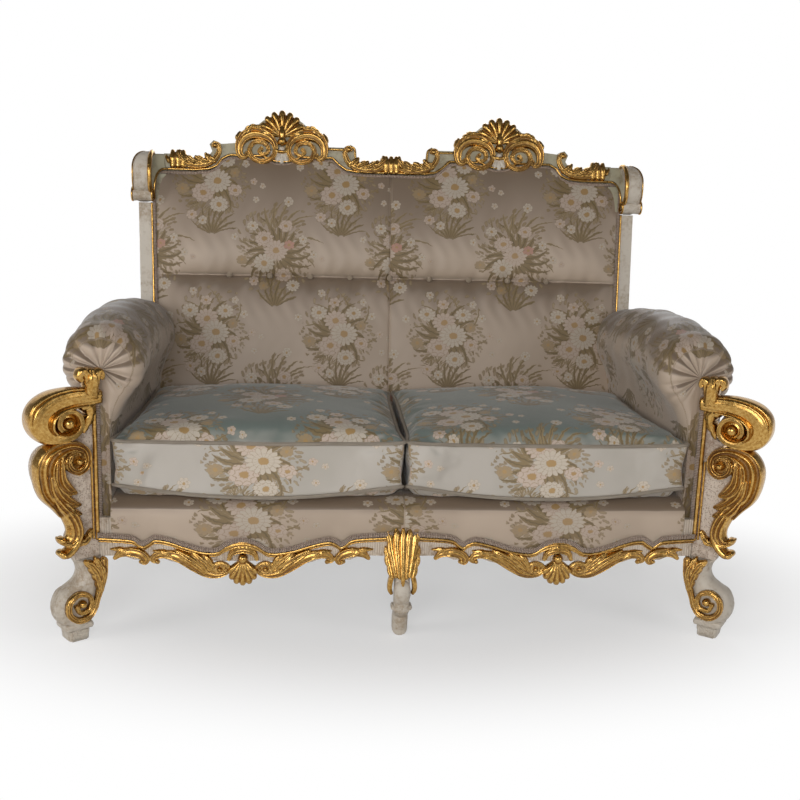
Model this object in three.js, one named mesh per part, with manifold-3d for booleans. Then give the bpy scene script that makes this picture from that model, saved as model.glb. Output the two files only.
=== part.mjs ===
// Cabriole sofa: a carved and gilded show frame, upholstered back and arms, two loose seat cushions.
// Millimetres, +Z up, the front faces -Y. The floor is at height zero.
import * as THREE from 'three';
import { mergeVertices } from 'three/addons/utils/BufferGeometryUtils.js';
import Module from 'manifold-3d';

const wasm = await Module();
wasm.setup();

// Clearance between pieces that touch, and the reach of a cut past what it cuts
const fitGap = 0.3;
const overrun = 1500;

// Half widths of the seat, from which the arms, rails and back take theirs
const armFaceX = 690;
const armFaceRearX = armFaceX - 34;
const cornerX = armFaceX + 35;

// Seat frame
const frontY = -400;
const railThick = 32;
const railTop = 300;
const railFoot = 225;
const sideRailX = armFaceX + 5.3;
const sideRailThick = 28;
const rearRailY = 128;
const rearRailThick = 34.7;
const centreRailWidth = 44;
const blockLeg = 85;
const coverThick = 2;

// Webbing under the seat
const strapWidth = 60;
const webbingThick = 2;
const crossStrapCount = 4;
const lengthStrapCount = 7;

// Sprung seat deck with its upholstered front border
const deckTop = railTop + 50;
const deckHalf = armFaceX - fitGap;
const deckRearY = 150;
const borderThick = 9;
const borderLift = 8;

// Apron carving: each half of the apron is one swag, the same on both sides of its shell
const kneeHalf = 48.4;
const railEnd = cornerX - 7.4;
const swagX = (railEnd + kneeHalf) / 2;
const swagHalf = (railEnd - kneeHalf) / 2;
const beadLine = 250;
const apronDepth = 100;
const carveBack = 6;

// Corner of the arm front, which turns outwards like the leg below it
const cornerTurn = 35;
const scrollReach = 200;
const postThick = 40;
const postFoot = 1.025 * scrollReach;
const postTop = 2.97 * scrollReach;
const legThick = 70;
const legFaceStep = 8;
const legRound = 4;

// Centre leg, up to the lower edge of the apron. Its outline is drawn in units of its height
const centreLegWidth = 38;
const centreLegDepth = 100;
const centreLegTop = beadLine - 0.46 * apronDepth;
const centreLegUnit = centreLegTop / 2.04;

// Arm upholstery
const armOuterX = armFaceX + 56;
const armFoot = 222;
const rollRadius = 95;
const rollX = armFaceX + 17;
const rollZ = postTop + 59;
const rollHump = 24;
const armFrontY = -388;
const armDomeDepth = 46;
const armRearY = 345;
const armTop = rollZ + rollRadius + 12;
const armWrapDepth = 50;

// Back frame, raked behind the seat
const backFootY = 163;
const backRake = 12.55;
const stileInnerX = armFaceRearX - 1;
const stileWidth = 40;
const stileSplayShare = 0.033;
const stileFootDepth = 69;
const stileTopDepth = 38;
const rearFootY = 325;
const rearFootDepth = 47;
const lowerRailHeight = 42;
const crestThick = 36;
const crestBase = 1100;
const crestDepth = 100;
const stileTop = crestBase - 1.04 * crestDepth;
const crestX = 315;
const shoulderX = 549;
const crestReach = 125;
const crestEndX = stileInnerX - 6;
const earWidth = 53;
const earOuterX = stileInnerX + stileSplayShare * (stileTop - railTop) + earWidth;
const earReach = 64;
const earRollRadius = 18;

// Back upholstery
const padFoot = deckTop;
const padBack = 34;
const tuckLine = padFoot + (crestBase - padFoot) * 0.6;
const buttonPitch = 115;
const buttonCount = 9;
const buttonRadius = 8;
const buttonHeight = 7;
const panelThick = 4;

// Loose seat cushions
const cushionGap = 3;
const cushionOuterX = armFaceX - 6;
const cushionFrontY = -424;
const cushionRearY = deckRearY - 1;
const cushionHeight = 140;
const cushionCrown = 32;
const cushionCorner = 18;
const cushionSag = 16;

const degree = Math.PI / 180;
const rakeCos = Math.cos(backRake * degree);
const rise = (height) => (height - railTop) / rakeCos;

const paint = new THREE.MeshStandardMaterial({ color: 0xd8cfc4, roughness: 0.55 });
const gilt = new THREE.MeshStandardMaterial({ color: 0xc08a2c, roughness: 0.35, metalness: 0.9 });
const brocade = new THREE.MeshStandardMaterial({ color: 0x9a8a7b, roughness: 0.5 });
const seatBrocade = new THREE.MeshStandardMaterial({ color: 0x8a938c, roughness: 0.5 });
const beech = new THREE.MeshStandardMaterial({ color: 0xb08a5e, roughness: 0.8 });
const jute = new THREE.MeshStandardMaterial({ color: 0x8c6f4a, roughness: 0.95 });
const cambric = new THREE.MeshStandardMaterial({ color: 0x1c1a19, roughness: 0.95 });

// Solids: a closed geometry in and out of the boolean library
function solidOf(geometry) {
  const bare = geometry.clone();
  for (const name of Object.keys(bare.attributes)) {
    if (name !== 'position') bare.deleteAttribute(name);
  }
  const welded = mergeVertices(bare);
  const mesh = new wasm.Mesh({
    numProp: 3,
    vertProperties: new Float32Array(welded.attributes.position.array),
    triVerts: new Uint32Array(welded.index.array),
  });
  mesh.merge();
  return new wasm.Manifold(mesh);
}

function geometryOf(solid) {
  const mesh = solid.getMesh();
  const geometry = new THREE.BufferGeometry();
  geometry.setAttribute('position', new THREE.BufferAttribute(mesh.vertProperties, mesh.numProp));
  geometry.setIndex(new THREE.BufferAttribute(mesh.triVerts, 1));
  geometry.computeVertexNormals();
  return geometry;
}

const joined = (geometries) => geometries.map(solidOf).reduce((sum, next) => sum.add(next));

// A solid swollen by the fit gap, used to cut the seat of a neighbour
function grown(solid) {
  const steps = [[1, 0, 0], [-1, 0, 0], [0, 1, 0], [0, -1, 0], [0, 0, 1], [0, 0, -1]];
  return steps.reduce((sum, step) => sum.add(solid.translate(step.map((s) => s * fitGap))), solid);
}

function boxBetween(low, high) {
  const size = high.map((value, i) => value - low[i]);
  const geometry = new THREE.BoxGeometry(...size);
  return geometry.translate(...low.map((value, i) => value + size[i] / 2));
}

// The part of a carving behind the face it is laid on is cut away flat
const behindFace = () => solidOf(boxBetween([-overrun, -fitGap, -overrun], [overrun, overrun, overrun]));

function mirrored(geometry) {
  const copy = geometry.clone().applyMatrix4(new THREE.Matrix4().makeScale(-1, 1, 1));
  if (!copy.index) copy.setIndex([...Array(copy.attributes.position.count).keys()]);
  const index = copy.index.array;
  for (let i = 0; i < index.length; i += 3) [index[i], index[i + 2]] = [index[i + 2], index[i]];
  return copy;
}

// Outlines: shares of a width and a height, and a smooth curve through such points
const placed = (shares, width, height, x = 0, y = 0) =>
  shares.map(([a, b]) => new THREE.Vector2(x + a * width, y + b * height));
const smooth = (points, count) => new THREE.SplineCurve(points).getPoints(count);
const flipped = (points) => points.map((p) => new THREE.Vector2(-p.x, p.y)).reverse();

// A board cut to an outline in X and Z, its front face at y = 0 and its back behind it
function frontBoard(outline, thickness, round = 0) {
  const geometry = new THREE.ExtrudeGeometry(new THREE.Shape(outline), {
    depth: thickness - 2 * round,
    bevelEnabled: round > 0,
    bevelThickness: round,
    bevelSize: round,
    bevelOffset: -round,
    bevelSegments: 1,
  });
  return geometry.rotateX(Math.PI / 2).translate(0, thickness - round, 0);
}

// A board cut to an outline in Y and Z, its inner face at x = 0
function sideBoard(outline, thickness, round = 0) {
  const geometry = new THREE.ExtrudeGeometry(new THREE.Shape(outline), {
    depth: thickness - 2 * round,
    bevelEnabled: round > 0,
    bevelThickness: round,
    bevelSize: round,
    bevelOffset: -round,
    bevelSegments: 1,
  });
  const turn = new THREE.Matrix4().makeBasis(
    new THREE.Vector3(0, 1, 0),
    new THREE.Vector3(0, 0, 1),
    new THREE.Vector3(1, 0, 0),
  );
  return geometry.applyMatrix4(turn).translate(round, 0, 0);
}

// A board cut to an outline in X and Y between two heights
function planBoard(outline, low, high) {
  const geometry = new THREE.ExtrudeGeometry(new THREE.Shape(outline), {
    depth: high - low,
    bevelEnabled: false,
  });
  return geometry.translate(0, 0, low);
}

// Closed skin through a row of rings of points, with a point at each end
function skin(rings, firstTip, lastTip) {
  const count = rings[0].length;
  const corners = [firstTip, ...rings.flat(), lastTip];
  const faces = [];
  const last = corners.length - 1;
  for (let i = 0; i < count; i += 1) {
    const next = (i + 1) % count;
    faces.push(0, 1 + next, 1 + i);
    faces.push(last, last - count + i, last - count + next);
    for (let r = 0; r + 1 < rings.length; r += 1) {
      const a = 1 + r * count;
      const b = a + count;
      faces.push(a + i, a + next, b + next, a + i, b + next, b + i);
    }
  }
  const geometry = new THREE.BufferGeometry().setFromPoints(corners);
  geometry.setIndex(faces);
  if (volumeOf(geometry) < 0) {
    for (let i = 0; i < faces.length; i += 3) [faces[i], faces[i + 1]] = [faces[i + 1], faces[i]];
    geometry.setIndex(faces);
  }
  return geometry;
}

function volumeOf(geometry) {
  const place = geometry.attributes.position;
  const index = geometry.index.array;
  const [a, b, c] = [new THREE.Vector3(), new THREE.Vector3(), new THREE.Vector3()];
  let sum = 0;
  for (let i = 0; i < index.length; i += 3) {
    a.fromBufferAttribute(place, index[i]);
    b.fromBufferAttribute(place, index[i + 1]);
    c.fromBufferAttribute(place, index[i + 2]);
    sum += a.dot(b.cross(c));
  }
  return sum;
}

// A carved strand: a ridge along a path in X and Z. Each row of shares holds the place across and up,
// half the width, half the depth, and how far forward the middle stands.
function strand(rows, size, options = {}) {
  const { span = size, fore = size, x = 0, z = 0, sides = 6, steps = 2, flip = 1 } = options;
  const place = new THREE.CatmullRomCurve3(
    rows.map(([across, up, , , lift = 0]) =>
      new THREE.Vector3(x + flip * across * span, -lift * fore, z + up * size)),
  );
  const girth = new THREE.CatmullRomCurve3(
    rows.map(([, , width, depth]) => new THREE.Vector3(width * size, depth * size, 0)),
  );
  const count = steps * (rows.length - 1);
  const rings = [];
  for (let i = 0; i <= count; i += 1) {
    const centre = place.getPoint(i / count);
    const { x: width, y: depth } = girth.getPoint(i / count);
    const before = place.getPoint(Math.max(0, (i - 0.5) / count));
    const along = place.getPoint(Math.min(1, (i + 0.5) / count)).sub(before);
    along.setY(0).normalize();
    const ring = [];
    for (let j = 0; j < sides; j += 1) {
      const angle = ((j + 0.5) / sides) * 2 * Math.PI;
      ring.push(new THREE.Vector3(
        centre.x - along.z * Math.cos(angle) * width,
        centre.y - Math.sin(angle) * depth,
        centre.z + along.x * Math.cos(angle) * width,
      ));
    }
    rings.push(ring);
  }
  return skin(rings, place.getPoint(0), place.getPoint(1));
}

const ball = (size, across, up, forward, radius, { x = 0, z = 0, flip = 1 } = {}) =>
  new THREE.SphereGeometry(radius * size, 8, 6)
    .translate(x + flip * across * size, -forward * size, z + up * size);

// A fan of ribs from a hub, as on a scallop shell. Angles in degrees, anticlockwise from +X
function fan({ size, x, z, hub, reach, from, to, count, tip, depth }) {
  const ribs = [];
  for (let i = 0; i < count; i += 1) {
    const angle = (from + ((to - from) * i) / (count - 1)) * degree;
    const at = (share) => [Math.cos(angle) * share, Math.sin(angle) * share];
    const long = reach[Math.abs(i - (count - 1) / 2) | 0];
    ribs.push(strand([
      [...at(hub), tip / 3, depth * 0.6],
      [...at(hub + (long - hub) * 0.55), tip * 0.75, depth],
      [...at(long - tip * 0.6), tip, depth * 0.9],
      [...at(long), tip * 0.5, depth * 0.5],
    ], size, { x, z, sides: 5, steps: 1 }));
  }
  return ribs;
}

const sofa = new THREE.Group();

function add(parent, name, geometry, material) {
  const mesh = new THREE.Mesh(geometry, material);
  mesh.name = name;
  parent.add(mesh);
  return mesh;
}

// The same piece on both sides, made once for the right
function addPair(parents, name, geometry, material) {
  add(parents.right, `${name}_right`, geometry, material);
  add(parents.left, `${name}_left`, mirrored(geometry), material);
}
const bothSides = { right: sofa, left: sofa };

// Front rail: a straight top under the upholstery and a lower edge cut to the swags
const apronEdgeShares = [
  [0, -0.58], [0.21, -0.58], [0.29, -0.66], [0.4, -0.68], [0.5, -0.6], [0.6, -0.47], [0.68, -0.45],
  [0.73, -0.55], [0.77, -0.55], [0.84, -0.44], [1, -0.45],
];

function frontRail() {
  const toCentre = placed(apronEdgeShares, -swagHalf, apronDepth, swagX, beadLine);
  const toLeg = placed(apronEdgeShares, swagHalf, apronDepth, swagX, beadLine);
  // Its outer end lies on top of the front leg
  toLeg.slice(-2).forEach((p) => p.setY(postFoot));
  const half = [...toCentre.slice(1).reverse(), ...toLeg];
  const outline = [
    new THREE.Vector2(swagX + swagHalf, railTop),
    new THREE.Vector2(-swagX - swagHalf, railTop),
    ...flipped(half),
    ...half,
  ];
  return frontBoard(outline, railThick).translate(0, frontY, 0);
}

// Leaf scrolls of one side of a swag, from the shell outwards
const swagStrands = [
  [
    [0.945, -0.42, 0.05, 0.07], [0.89, -0.36, 0.09, 0.1], [0.82, -0.35, 0.11, 0.12],
    [0.755, -0.45, 0.1, 0.12], [0.735, -0.62, 0.08, 0.1], [0.765, -0.73, 0.08, 0.1],
    [0.795, -0.66, 0.05, 0.08],
  ],
  [
    [0.655, -0.69, 0.05, 0.08], [0.705, -0.62, 0.07, 0.1], [0.69, -0.48, 0.08, 0.11],
    [0.62, -0.42, 0.08, 0.12], [0.53, -0.48, 0.1, 0.13], [0.41, -0.66, 0.13, 0.14],
    [0.31, -0.87, 0.13, 0.14], [0.22, -1.01, 0.1, 0.13], [0.16, -1.03, 0.08, 0.12],
    [0.135, -0.9, 0.07, 0.12], [0.16, -0.79, 0.06, 0.11], [0.2, -0.85, 0.05, 0.1],
  ],
  [[0.27, -0.92, 0.08, 0.1], [0.36, -0.66, 0.09, 0.13], [0.45, -0.44, 0.07, 0.12],
    [0.5, -0.32, 0.03, 0.08]],
  [[0.24, -0.9, 0.08, 0.1], [0.31, -0.64, 0.08, 0.13], [0.34, -0.5, 0.06, 0.12], [0.36, -0.4, 0.03, 0.08]],
  [[0.2, -0.92, 0.06, 0.1], [0.25, -0.7, 0.07, 0.12], [0.29, -0.52, 0.03, 0.08]],
];
const swagPlateShares = [
  [0.42, -0.62], [0.5, -0.5], [0.6, -0.44], [0.7, -0.5], [0.76, -0.5], [0.84, -0.42], [0.84, -0.34],
  [0.74, -0.36], [0.66, -0.38], [0.5, -0.4], [0.38, -0.5],
];

function apronScroll(flip, shellSolid) {
  const strands = swagStrands.map((rows) =>
    strand(rows, apronDepth, { span: swagHalf, x: swagX, z: beadLine, flip, sides: 5, steps: 1 }));
  const plate = frontBoard(
    placed(swagPlateShares, flip * swagHalf, apronDepth, swagX, beadLine),
    carveBack,
  ).translate(0, -carveBack, 0);
  const whole = joined([...strands, plate]).subtract(behindFace()).subtract(grown(shellSolid));
  return geometryOf(whole).translate(0, frontY, 0);
}

// Shell that hangs from the middle of a swag under a small arch
const apronShellBones = {
  hub: 0.06, reach: [0.74, 0.72, 0.68, 0.6], from: -145, to: -35, count: 7, tip: 0.11, depth: 0.16,
};
const apronArchShares = [
  [-0.6, -0.4, 0.04, 0.06], [-0.42, -0.28, 0.06, 0.09], [-0.2, -0.18, 0.07, 0.1], [0, -0.15, 0.07, 0.1],
  [0.2, -0.18, 0.07, 0.1], [0.42, -0.28, 0.06, 0.09], [0.6, -0.4, 0.04, 0.06],
];
const apronHoodShares = [
  [-0.33, -0.5, 0.05, 0.1], [-0.24, -0.35, 0.07, 0.12], [0, -0.27, 0.08, 0.13], [0.24, -0.35, 0.07, 0.12],
  [0.33, -0.5, 0.05, 0.1],
];
const apronPlateShares = [[-0.5, -0.42], [0.5, -0.42], [0.42, -0.28], [0, -0.17], [-0.42, -0.28]];

function apronShell() {
  const seat = { x: swagX, z: beadLine };
  const plate = frontBoard(
    placed(apronPlateShares, apronDepth, apronDepth, swagX, beadLine),
    carveBack,
  ).translate(0, -carveBack, 0);
  const pieces = [
    ...fan({ ...apronShellBones, size: apronDepth, x: swagX, z: beadLine - apronDepth / 2 }),
    strand(apronArchShares, apronDepth, { ...seat, steps: 1, sides: 5 }),
    strand(apronHoodShares, apronDepth, { ...seat, steps: 1, sides: 5 }),
    ball(apronDepth, 0, -0.48, 0.1, 0.12, seat),
    plate,
  ];
  return joined(pieces).subtract(behindFace());
}

// Arm post: the painted ground of the arm front and lower scroll
const postInnerShare = -0.025;
const postShares = [
  [0.275, 1.05], [0.34, 1.25], [0.25, 1.5], [0.38, 1.7], [0.6, 1.88], [0.69, 2.05], [0.7, 2.25],
  [0.6, 2.4], [0.35, 2.46], [0.14, 2.55], [0.12, 2.75], [0.13, 2.97],
];

function armPost() {
  const edge = smooth(placed(postShares, scrollReach, scrollReach), 36);
  const outline = [
    new THREE.Vector2(postInnerShare * scrollReach, postFoot),
    new THREE.Vector2(postShares[0][0] * scrollReach, postFoot),
    ...edge,
    new THREE.Vector2(postInnerShare * scrollReach, edge.at(-1).y),
  ];
  return frontBoard(outline, postThick);
}

// Upper scroll of the arm front: a thick band that rolls in like a snail, with a bud above it
const upperVoluteShares = [
  [-0.03, 3.06, 0.05, 0.08, 0.06], [0.15, 3.04, 0.06, 0.12, 0.07], [0.375, 3.0, 0.08, 0.17, 0.03],
  [0.56, 2.94, 0.1, 0.2, 0], [0.69, 2.83, 0.125, 0.2, 0], [0.715, 2.71, 0.12, 0.2, 0],
  [0.65, 2.6, 0.1, 0.2, 0], [0.52, 2.565, 0.08, 0.2, 0], [0.385, 2.59, 0.065, 0.2, 0.02],
  [0.315, 2.67, 0.055, 0.19, 0.03], [0.32, 2.76, 0.05, 0.18, 0.05], [0.4, 2.82, 0.05, 0.17, 0.06],
  [0.485, 2.785, 0.045, 0.16, 0.08], [0.51, 2.715, 0.04, 0.15, 0.09], [0.465, 2.66, 0.045, 0.14, 0.1],
  [0.42, 2.69, 0.05, 0.14, 0.11],
];
const upperFrillShares = [
  [0.34, 2.98, 0.06, 0.14], [0.17, 2.92, 0.06, 0.15], [0.08, 2.8, 0.05, 0.13], [0.11, 2.69, 0.045, 0.12],
  [0.2, 2.62, 0.03, 0.1],
];
const budShares = [
  [[0, 3.0, 0.08, 0.09, 0.06], [-0.01, 3.12, 0.06, 0.1, 0.08], [-0.07, 3.22, 0.06, 0.09, 0.11],
    [-0.1, 3.3, 0.04, 0.06, 0.11]],
  [[0.02, 3.0, 0.08, 0.09, 0.06], [0.03, 3.12, 0.06, 0.1, 0.08], [0.09, 3.22, 0.06, 0.09, 0.1],
    [0.12, 3.3, 0.04, 0.06, 0.09]],
];

const voluteBallShares = [[0.01, 3.22, 0.12, 0.075], [0.42, 2.69, 0.22, 0.06]];

function armVolute(postSolid) {
  const pieces = [
    strand(upperVoluteShares, scrollReach),
    strand(upperFrillShares, scrollReach, { sides: 6, steps: 1 }),
    ...budShares.map((rows) => strand(rows, scrollReach, { sides: 6, steps: 1 })),
    ...voluteBallShares.map((shares) => ball(scrollReach, ...shares)),
  ];
  return joined(pieces).subtract(grown(postSolid));
}

// Lower scroll: a band that rises from a double curl, sweeps round and rolls in, over acanthus leaves
const lowerScrollStrands = [
  [
    [0.4, 1.33, 0.035, 0.08], [0.29, 1.46, 0.07, 0.1], [0.31, 1.62, 0.09, 0.13], [0.48, 1.76, 0.1, 0.15],
    [0.655, 1.94, 0.09, 0.16], [0.71, 2.14, 0.085, 0.17], [0.66, 2.34, 0.08, 0.18],
    [0.52, 2.43, 0.075, 0.18], [0.32, 2.44, 0.065, 0.18], [0.16, 2.37, 0.06, 0.18],
    [0.105, 2.23, 0.05, 0.17], [0.16, 2.1, 0.05, 0.17], [0.3, 2.07, 0.045, 0.17],
    [0.395, 2.15, 0.04, 0.17], [0.39, 2.26, 0.04, 0.17], [0.3, 2.315, 0.035, 0.17],
    [0.225, 2.25, 0.035, 0.17], [0.265, 2.2, 0.04, 0.17],
  ],
  [[0.5, 2.3, 0.07, 0.14], [0.56, 2.12, 0.08, 0.16], [0.48, 1.94, 0.08, 0.15], [0.3, 1.82, 0.07, 0.13],
    [0.12, 1.75, 0.03, 0.08]],
  [[0.52, 1.96, 0.07, 0.14], [0.38, 1.76, 0.08, 0.14], [0.22, 1.64, 0.07, 0.12], [0.07, 1.62, 0.03, 0.08]],
  [[0.4, 2.08, 0.05, 0.14], [0.36, 1.94, 0.07, 0.15], [0.24, 1.87, 0.06, 0.12], [0.13, 1.9, 0.03, 0.08]],
  [[0.31, 1.5, 0.06, 0.1], [0.26, 1.36, 0.07, 0.11], [0.3, 1.24, 0.06, 0.12], [0.42, 1.27, 0.055, 0.12],
    [0.45, 1.33, 0.04, 0.1]],
  [[0.28, 1.3, 0.05, 0.1], [0.3, 1.17, 0.05, 0.11], [0.38, 1.1, 0.055, 0.12], [0.43, 1.14, 0.045, 0.11]],
];
const scrollBackShares = [
  [0.26, 1.14], [0.36, 1.14], [0.4, 1.26], [0.31, 1.42], [0.33, 1.6], [0.46, 1.7], [0.68, 1.94],
  [0.74, 2.15], [0.68, 2.36], [0.52, 2.46], [0.32, 2.46], [0.12, 2.36], [0.1, 2.2], [0.16, 2.0],
  [0.2, 1.85], [0.14, 1.7], [0.24, 1.56], [0.22, 1.36],
];

function armLeafScroll(voluteSolid) {
  const strands = lowerScrollStrands.map((rows, i) =>
    strand(rows, scrollReach, { sides: i === 0 ? 7 : 5, steps: 1 }));
  const back = frontBoard(placed(scrollBackShares, scrollReach, scrollReach), carveBack * 2)
    .translate(0, -carveBack * 2, 0);
  return joined([...strands, back]).subtract(behindFace()).subtract(grown(voluteSolid));
}

// Front leg: an S-shaped scroll leg with a reeded foot block
const legShares = {
  outer: [
    [0.28, 1.0235], [0.22, 0.93], [0.2, 0.83], [0.24, 0.74], [0.34, 0.675], [0.44, 0.625], [0.5, 0.525],
    [0.52, 0.425], [0.5, 0.31], [0.44, 0.22],
  ],
  foot: [[0.42, 0.15], [0.38, 0], [0.15, 0], [0.11, 0.15]],
  inner: [[0.1, 0.25], [0.075, 0.36], [0.025, 0.5], [-0.025, 0.65], [-0.075, 0.825], [-0.13, 1.0235]],
};

function frontLeg() {
  const outline = [
    ...smooth(placed(legShares.outer, scrollReach, scrollReach), 20),
    ...placed(legShares.foot, scrollReach, scrollReach),
    ...smooth(placed(legShares.inner, scrollReach, scrollReach), 8),
  ].reverse();
  return frontBoard(outline, legThick, legRound)
    .translate(0, -legFaceStep, 0);
}

const legScrollStrands = [
  [
    [-0.05, 0.95, 0.05, 0.06], [-0.035, 0.8, 0.05, 0.07], [0, 0.65, 0.04, 0.06], [0.05, 0.5, 0.03, 0.05],
    [0.125, 0.36, 0.03, 0.06], [0.24, 0.28, 0.035, 0.07], [0.37, 0.29, 0.035, 0.07],
    [0.445, 0.39, 0.035, 0.07], [0.41, 0.51, 0.03, 0.07], [0.3, 0.54, 0.03, 0.07],
    [0.22, 0.48, 0.03, 0.07], [0.22, 0.4, 0.025, 0.07], [0.28, 0.36, 0.025, 0.07],
    [0.33, 0.4, 0.03, 0.07],
  ],
  [[0, 0.66, 0.04, 0.05], [0.03, 0.82, 0.055, 0.07], [0.1, 0.95, 0.03, 0.05]],
  [[0, 0.7, 0.04, 0.05], [-0.01, 0.86, 0.05, 0.08], [0.02, 0.99, 0.03, 0.05]],
];
const legEyeShares = [0.3, 0.42, 0, 0.055];

function legScroll() {
  const strands = legScrollStrands.map((rows, i) =>
    strand(rows, scrollReach, { sides: 5, steps: i === 0 ? 2 : 1 }));
  const eye = ball(scrollReach, ...legEyeShares);
  const whole = joined([...strands, eye]).subtract(behindFace());
  return geometryOf(whole).translate(0, -legFaceStep, 0);
}

// Corners of the arm fronts, turned outwards about the ends of the front rail
const corners = { right: new THREE.Group(), left: new THREE.Group() };
corners.right.position.set(cornerX, frontY, 0);
corners.right.rotation.z = -cornerTurn * degree;
corners.left.position.set(-cornerX, frontY, 0);
corners.left.rotation.z = cornerTurn * degree;
sofa.add(corners.right, corners.left);

// Centre leg, seen from the side as an S with its scroll to the front
const centreLegShares = {
  front: [
    [-0.06, 2.04], [-0.26, 1.8], [-0.36, 1.5], [-0.34, 1.25], [-0.42, 1.05], [-0.42, 0.78], [-0.3, 0.6],
  ],
  foot: [[-0.1, 0.5], [-0.12, 0.4], [-0.06, 0], [0.3, 0], [0.36, 0.4], [0.32, 0.5]],
  back: [[0.14, 0.7], [0.06, 0.95], [0.04, 1.3], [0.14, 1.7], [0.32, 2.04]],
};

function centreLeg() {
  const outline = [
    ...smooth(placed(centreLegShares.front, centreLegDepth, centreLegUnit, frontY), 14),
    ...placed(centreLegShares.foot, centreLegDepth, centreLegUnit, frontY),
    ...smooth(placed(centreLegShares.back, centreLegDepth, centreLegUnit, frontY), 10),
  ];
  return sideBoard(outline, centreLegWidth, legRound).translate(-centreLegWidth / 2, 0, 0);
}

// Acanthus knee of the centre leg: three leaf ribs over the rail, and a volute down each side
const kneeShares = [
  [[0, 2.76, 0.2, 0.1, 0.02], [0, 2.5, 0.12, 0.16, 0.05], [0, 2.2, 0.1, 0.17, 0.12],
    [0, 1.85, 0.11, 0.12, 0.3],
    [0, 1.56, 0.05, 0.08, 0.42]],
  [[0.14, 2.7, 0.1, 0.1, 0], [0.22, 2.5, 0.1, 0.13, 0.03], [0.27, 2.2, 0.1, 0.14, 0.08],
    [0.27, 1.9, 0.08, 0.14, 0.16], [0.25, 1.55, 0.06, 0.14, 0.28]],
  [[0.34, 2.5, 0.06, 0.08, 0], [0.38, 2.3, 0.07, 0.12, 0.02], [0.36, 2.05, 0.07, 0.12, 0.06],
    [0.29, 1.8, 0.06, 0.12, 0.15]],
  [[0.25, 1.65, 0.055, 0.14, 0.2], [0.26, 1.4, 0.055, 0.12, 0.26], [0.27, 1.2, 0.06, 0.12, 0.27],
    [0.28, 1.05, 0.06, 0.1, 0.24]],
];

function centreLegLeaf(legSolid, railSolid) {
  const pieces = kneeShares.flatMap((rows, i) => {
    const right = strand(rows, centreLegUnit, { fore: centreLegDepth, sides: 6, steps: 1 });
    return i === 0 ? [right] : [right, mirrored(right)];
  });
  const whole = joined(pieces).translate([0, frontY, 0]);
  return whole.subtract(grown(legSolid)).subtract(grown(railSolid));
}

// The seat narrows towards the back
const seatTaper = (y) => 1 - ((1 - armFaceRearX / armFaceX) * (y - frontY)) / (backFootY - frontY);

function tapered(geometry) {
  const place = geometry.attributes.position;
  for (let i = 0; i < place.count; i += 1) place.setX(i, place.getX(i) * seatTaper(place.getY(i)));
  return geometry;
}

// Seat deck: a slab on the webbing whose border turns down over the front rail to the apron
const borderEdgeShares = [
  [0, 0.32], [0.045, 0.3], [0.07, 0.09], [0.14, 0.08], [0.2, 0.02], [0.26, 0.03], [0.34, -0.02],
  [0.44, -0.2], [0.5, -0.1], [0.56, -0.06], [0.62, -0.1], [0.68, -0.2], [0.76, -0.06], [0.84, 0.03],
  [0.9, 0], [0.94, 0.04], [1, 0.06],
];

function seatDeck(kneeSolid) {
  const foot = railTop + webbingThick + 2 * fitGap;
  const face = frontY - fitGap;
  const slab = sideBoard([
    [face, foot],
    [deckRearY, foot],
    [deckRearY, deckTop],
    [face + borderThick * 5, deckTop],
    [face + borderThick * 2, deckTop - borderThick],
    [face - borderThick / 2, deckTop - 3 * borderThick],
    [face - borderThick, foot],
  ].map(([y, z]) => new THREE.Vector2(y, z)), 2 * deckHalf).translate(-deckHalf, 0, 0);
  const edge = smooth(placed(borderEdgeShares, deckHalf, apronDepth, 0, beadLine + borderLift), 24);
  const top = new THREE.Vector2(deckHalf, foot);
  const half = [...edge, top];
  const border = frontBoard([...flipped(half), ...half.slice(1)], borderThick)
    .translate(0, face - borderThick, 0);
  return joined([tapered(slab), border]).subtract(grown(kneeSolid));
}

function seatWebbing() {
  const low = railTop + fitGap;
  const high = low + webbingThick;
  const steps = (count) => [...Array(count).keys()].map((i) => i / (count - 1));
  const across = steps(lengthStrapCount).map((share) => {
    const x = -deckHalf + share * (2 * deckHalf - strapWidth);
    return boxBetween([x, frontY, low], [x + strapWidth, deckRearY, high]);
  });
  const along = steps(crossStrapCount).map((share) => {
    const y = frontY + share * (deckRearY - frontY - strapWidth);
    return boxBetween([-deckHalf, y, low], [deckHalf, y + strapWidth, high]);
  });
  return tapered(geometryOf(joined([...across, ...along])));
}

// Arm upholstery: a roll over flat panels, domed at the front, cut round the arm front
const rollAngles = { from: -48, to: 215, step: 20 };

function armSection(faceX, centreZ) {
  const rim = (angle) => new THREE.Vector2(
    rollX + rollRadius * Math.cos(angle * degree),
    centreZ + rollRadius * Math.sin(angle * degree),
  );
  const points = [
    new THREE.Vector2(armOuterX, armFoot),
    new THREE.Vector2(armOuterX, (armFoot + centreZ) / 2),
  ];
  const { from, to, step } = rollAngles;
  for (let angle = from; angle <= to; angle += step) points.push(rim(angle));
  const inner = rim(to);
  const lean = faceX - inner.x;
  const drop = armFaceX - inner.x;
  points.push(
    new THREE.Vector2(inner.x + lean * 0.5, inner.y - drop * 0.6),
    new THREE.Vector2(faceX - lean * 0.12, inner.y - drop * 1.4),
    new THREE.Vector2(faceX, inner.y - drop * 2.2),
    new THREE.Vector2(faceX, armFoot),
  );
  return points;
}

// How the roll rises behind its front and falls to the back, as shares of the hump
const humpShares = [[0, 0], [0.25, 0.88], [0.5, 0.7], [0.75, -0.3], [1, -1.6]];
const domeShares = [0.985, 0.9, 0.72, 0.45, 0.15, 0];
const straightStepCount = 5;

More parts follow.
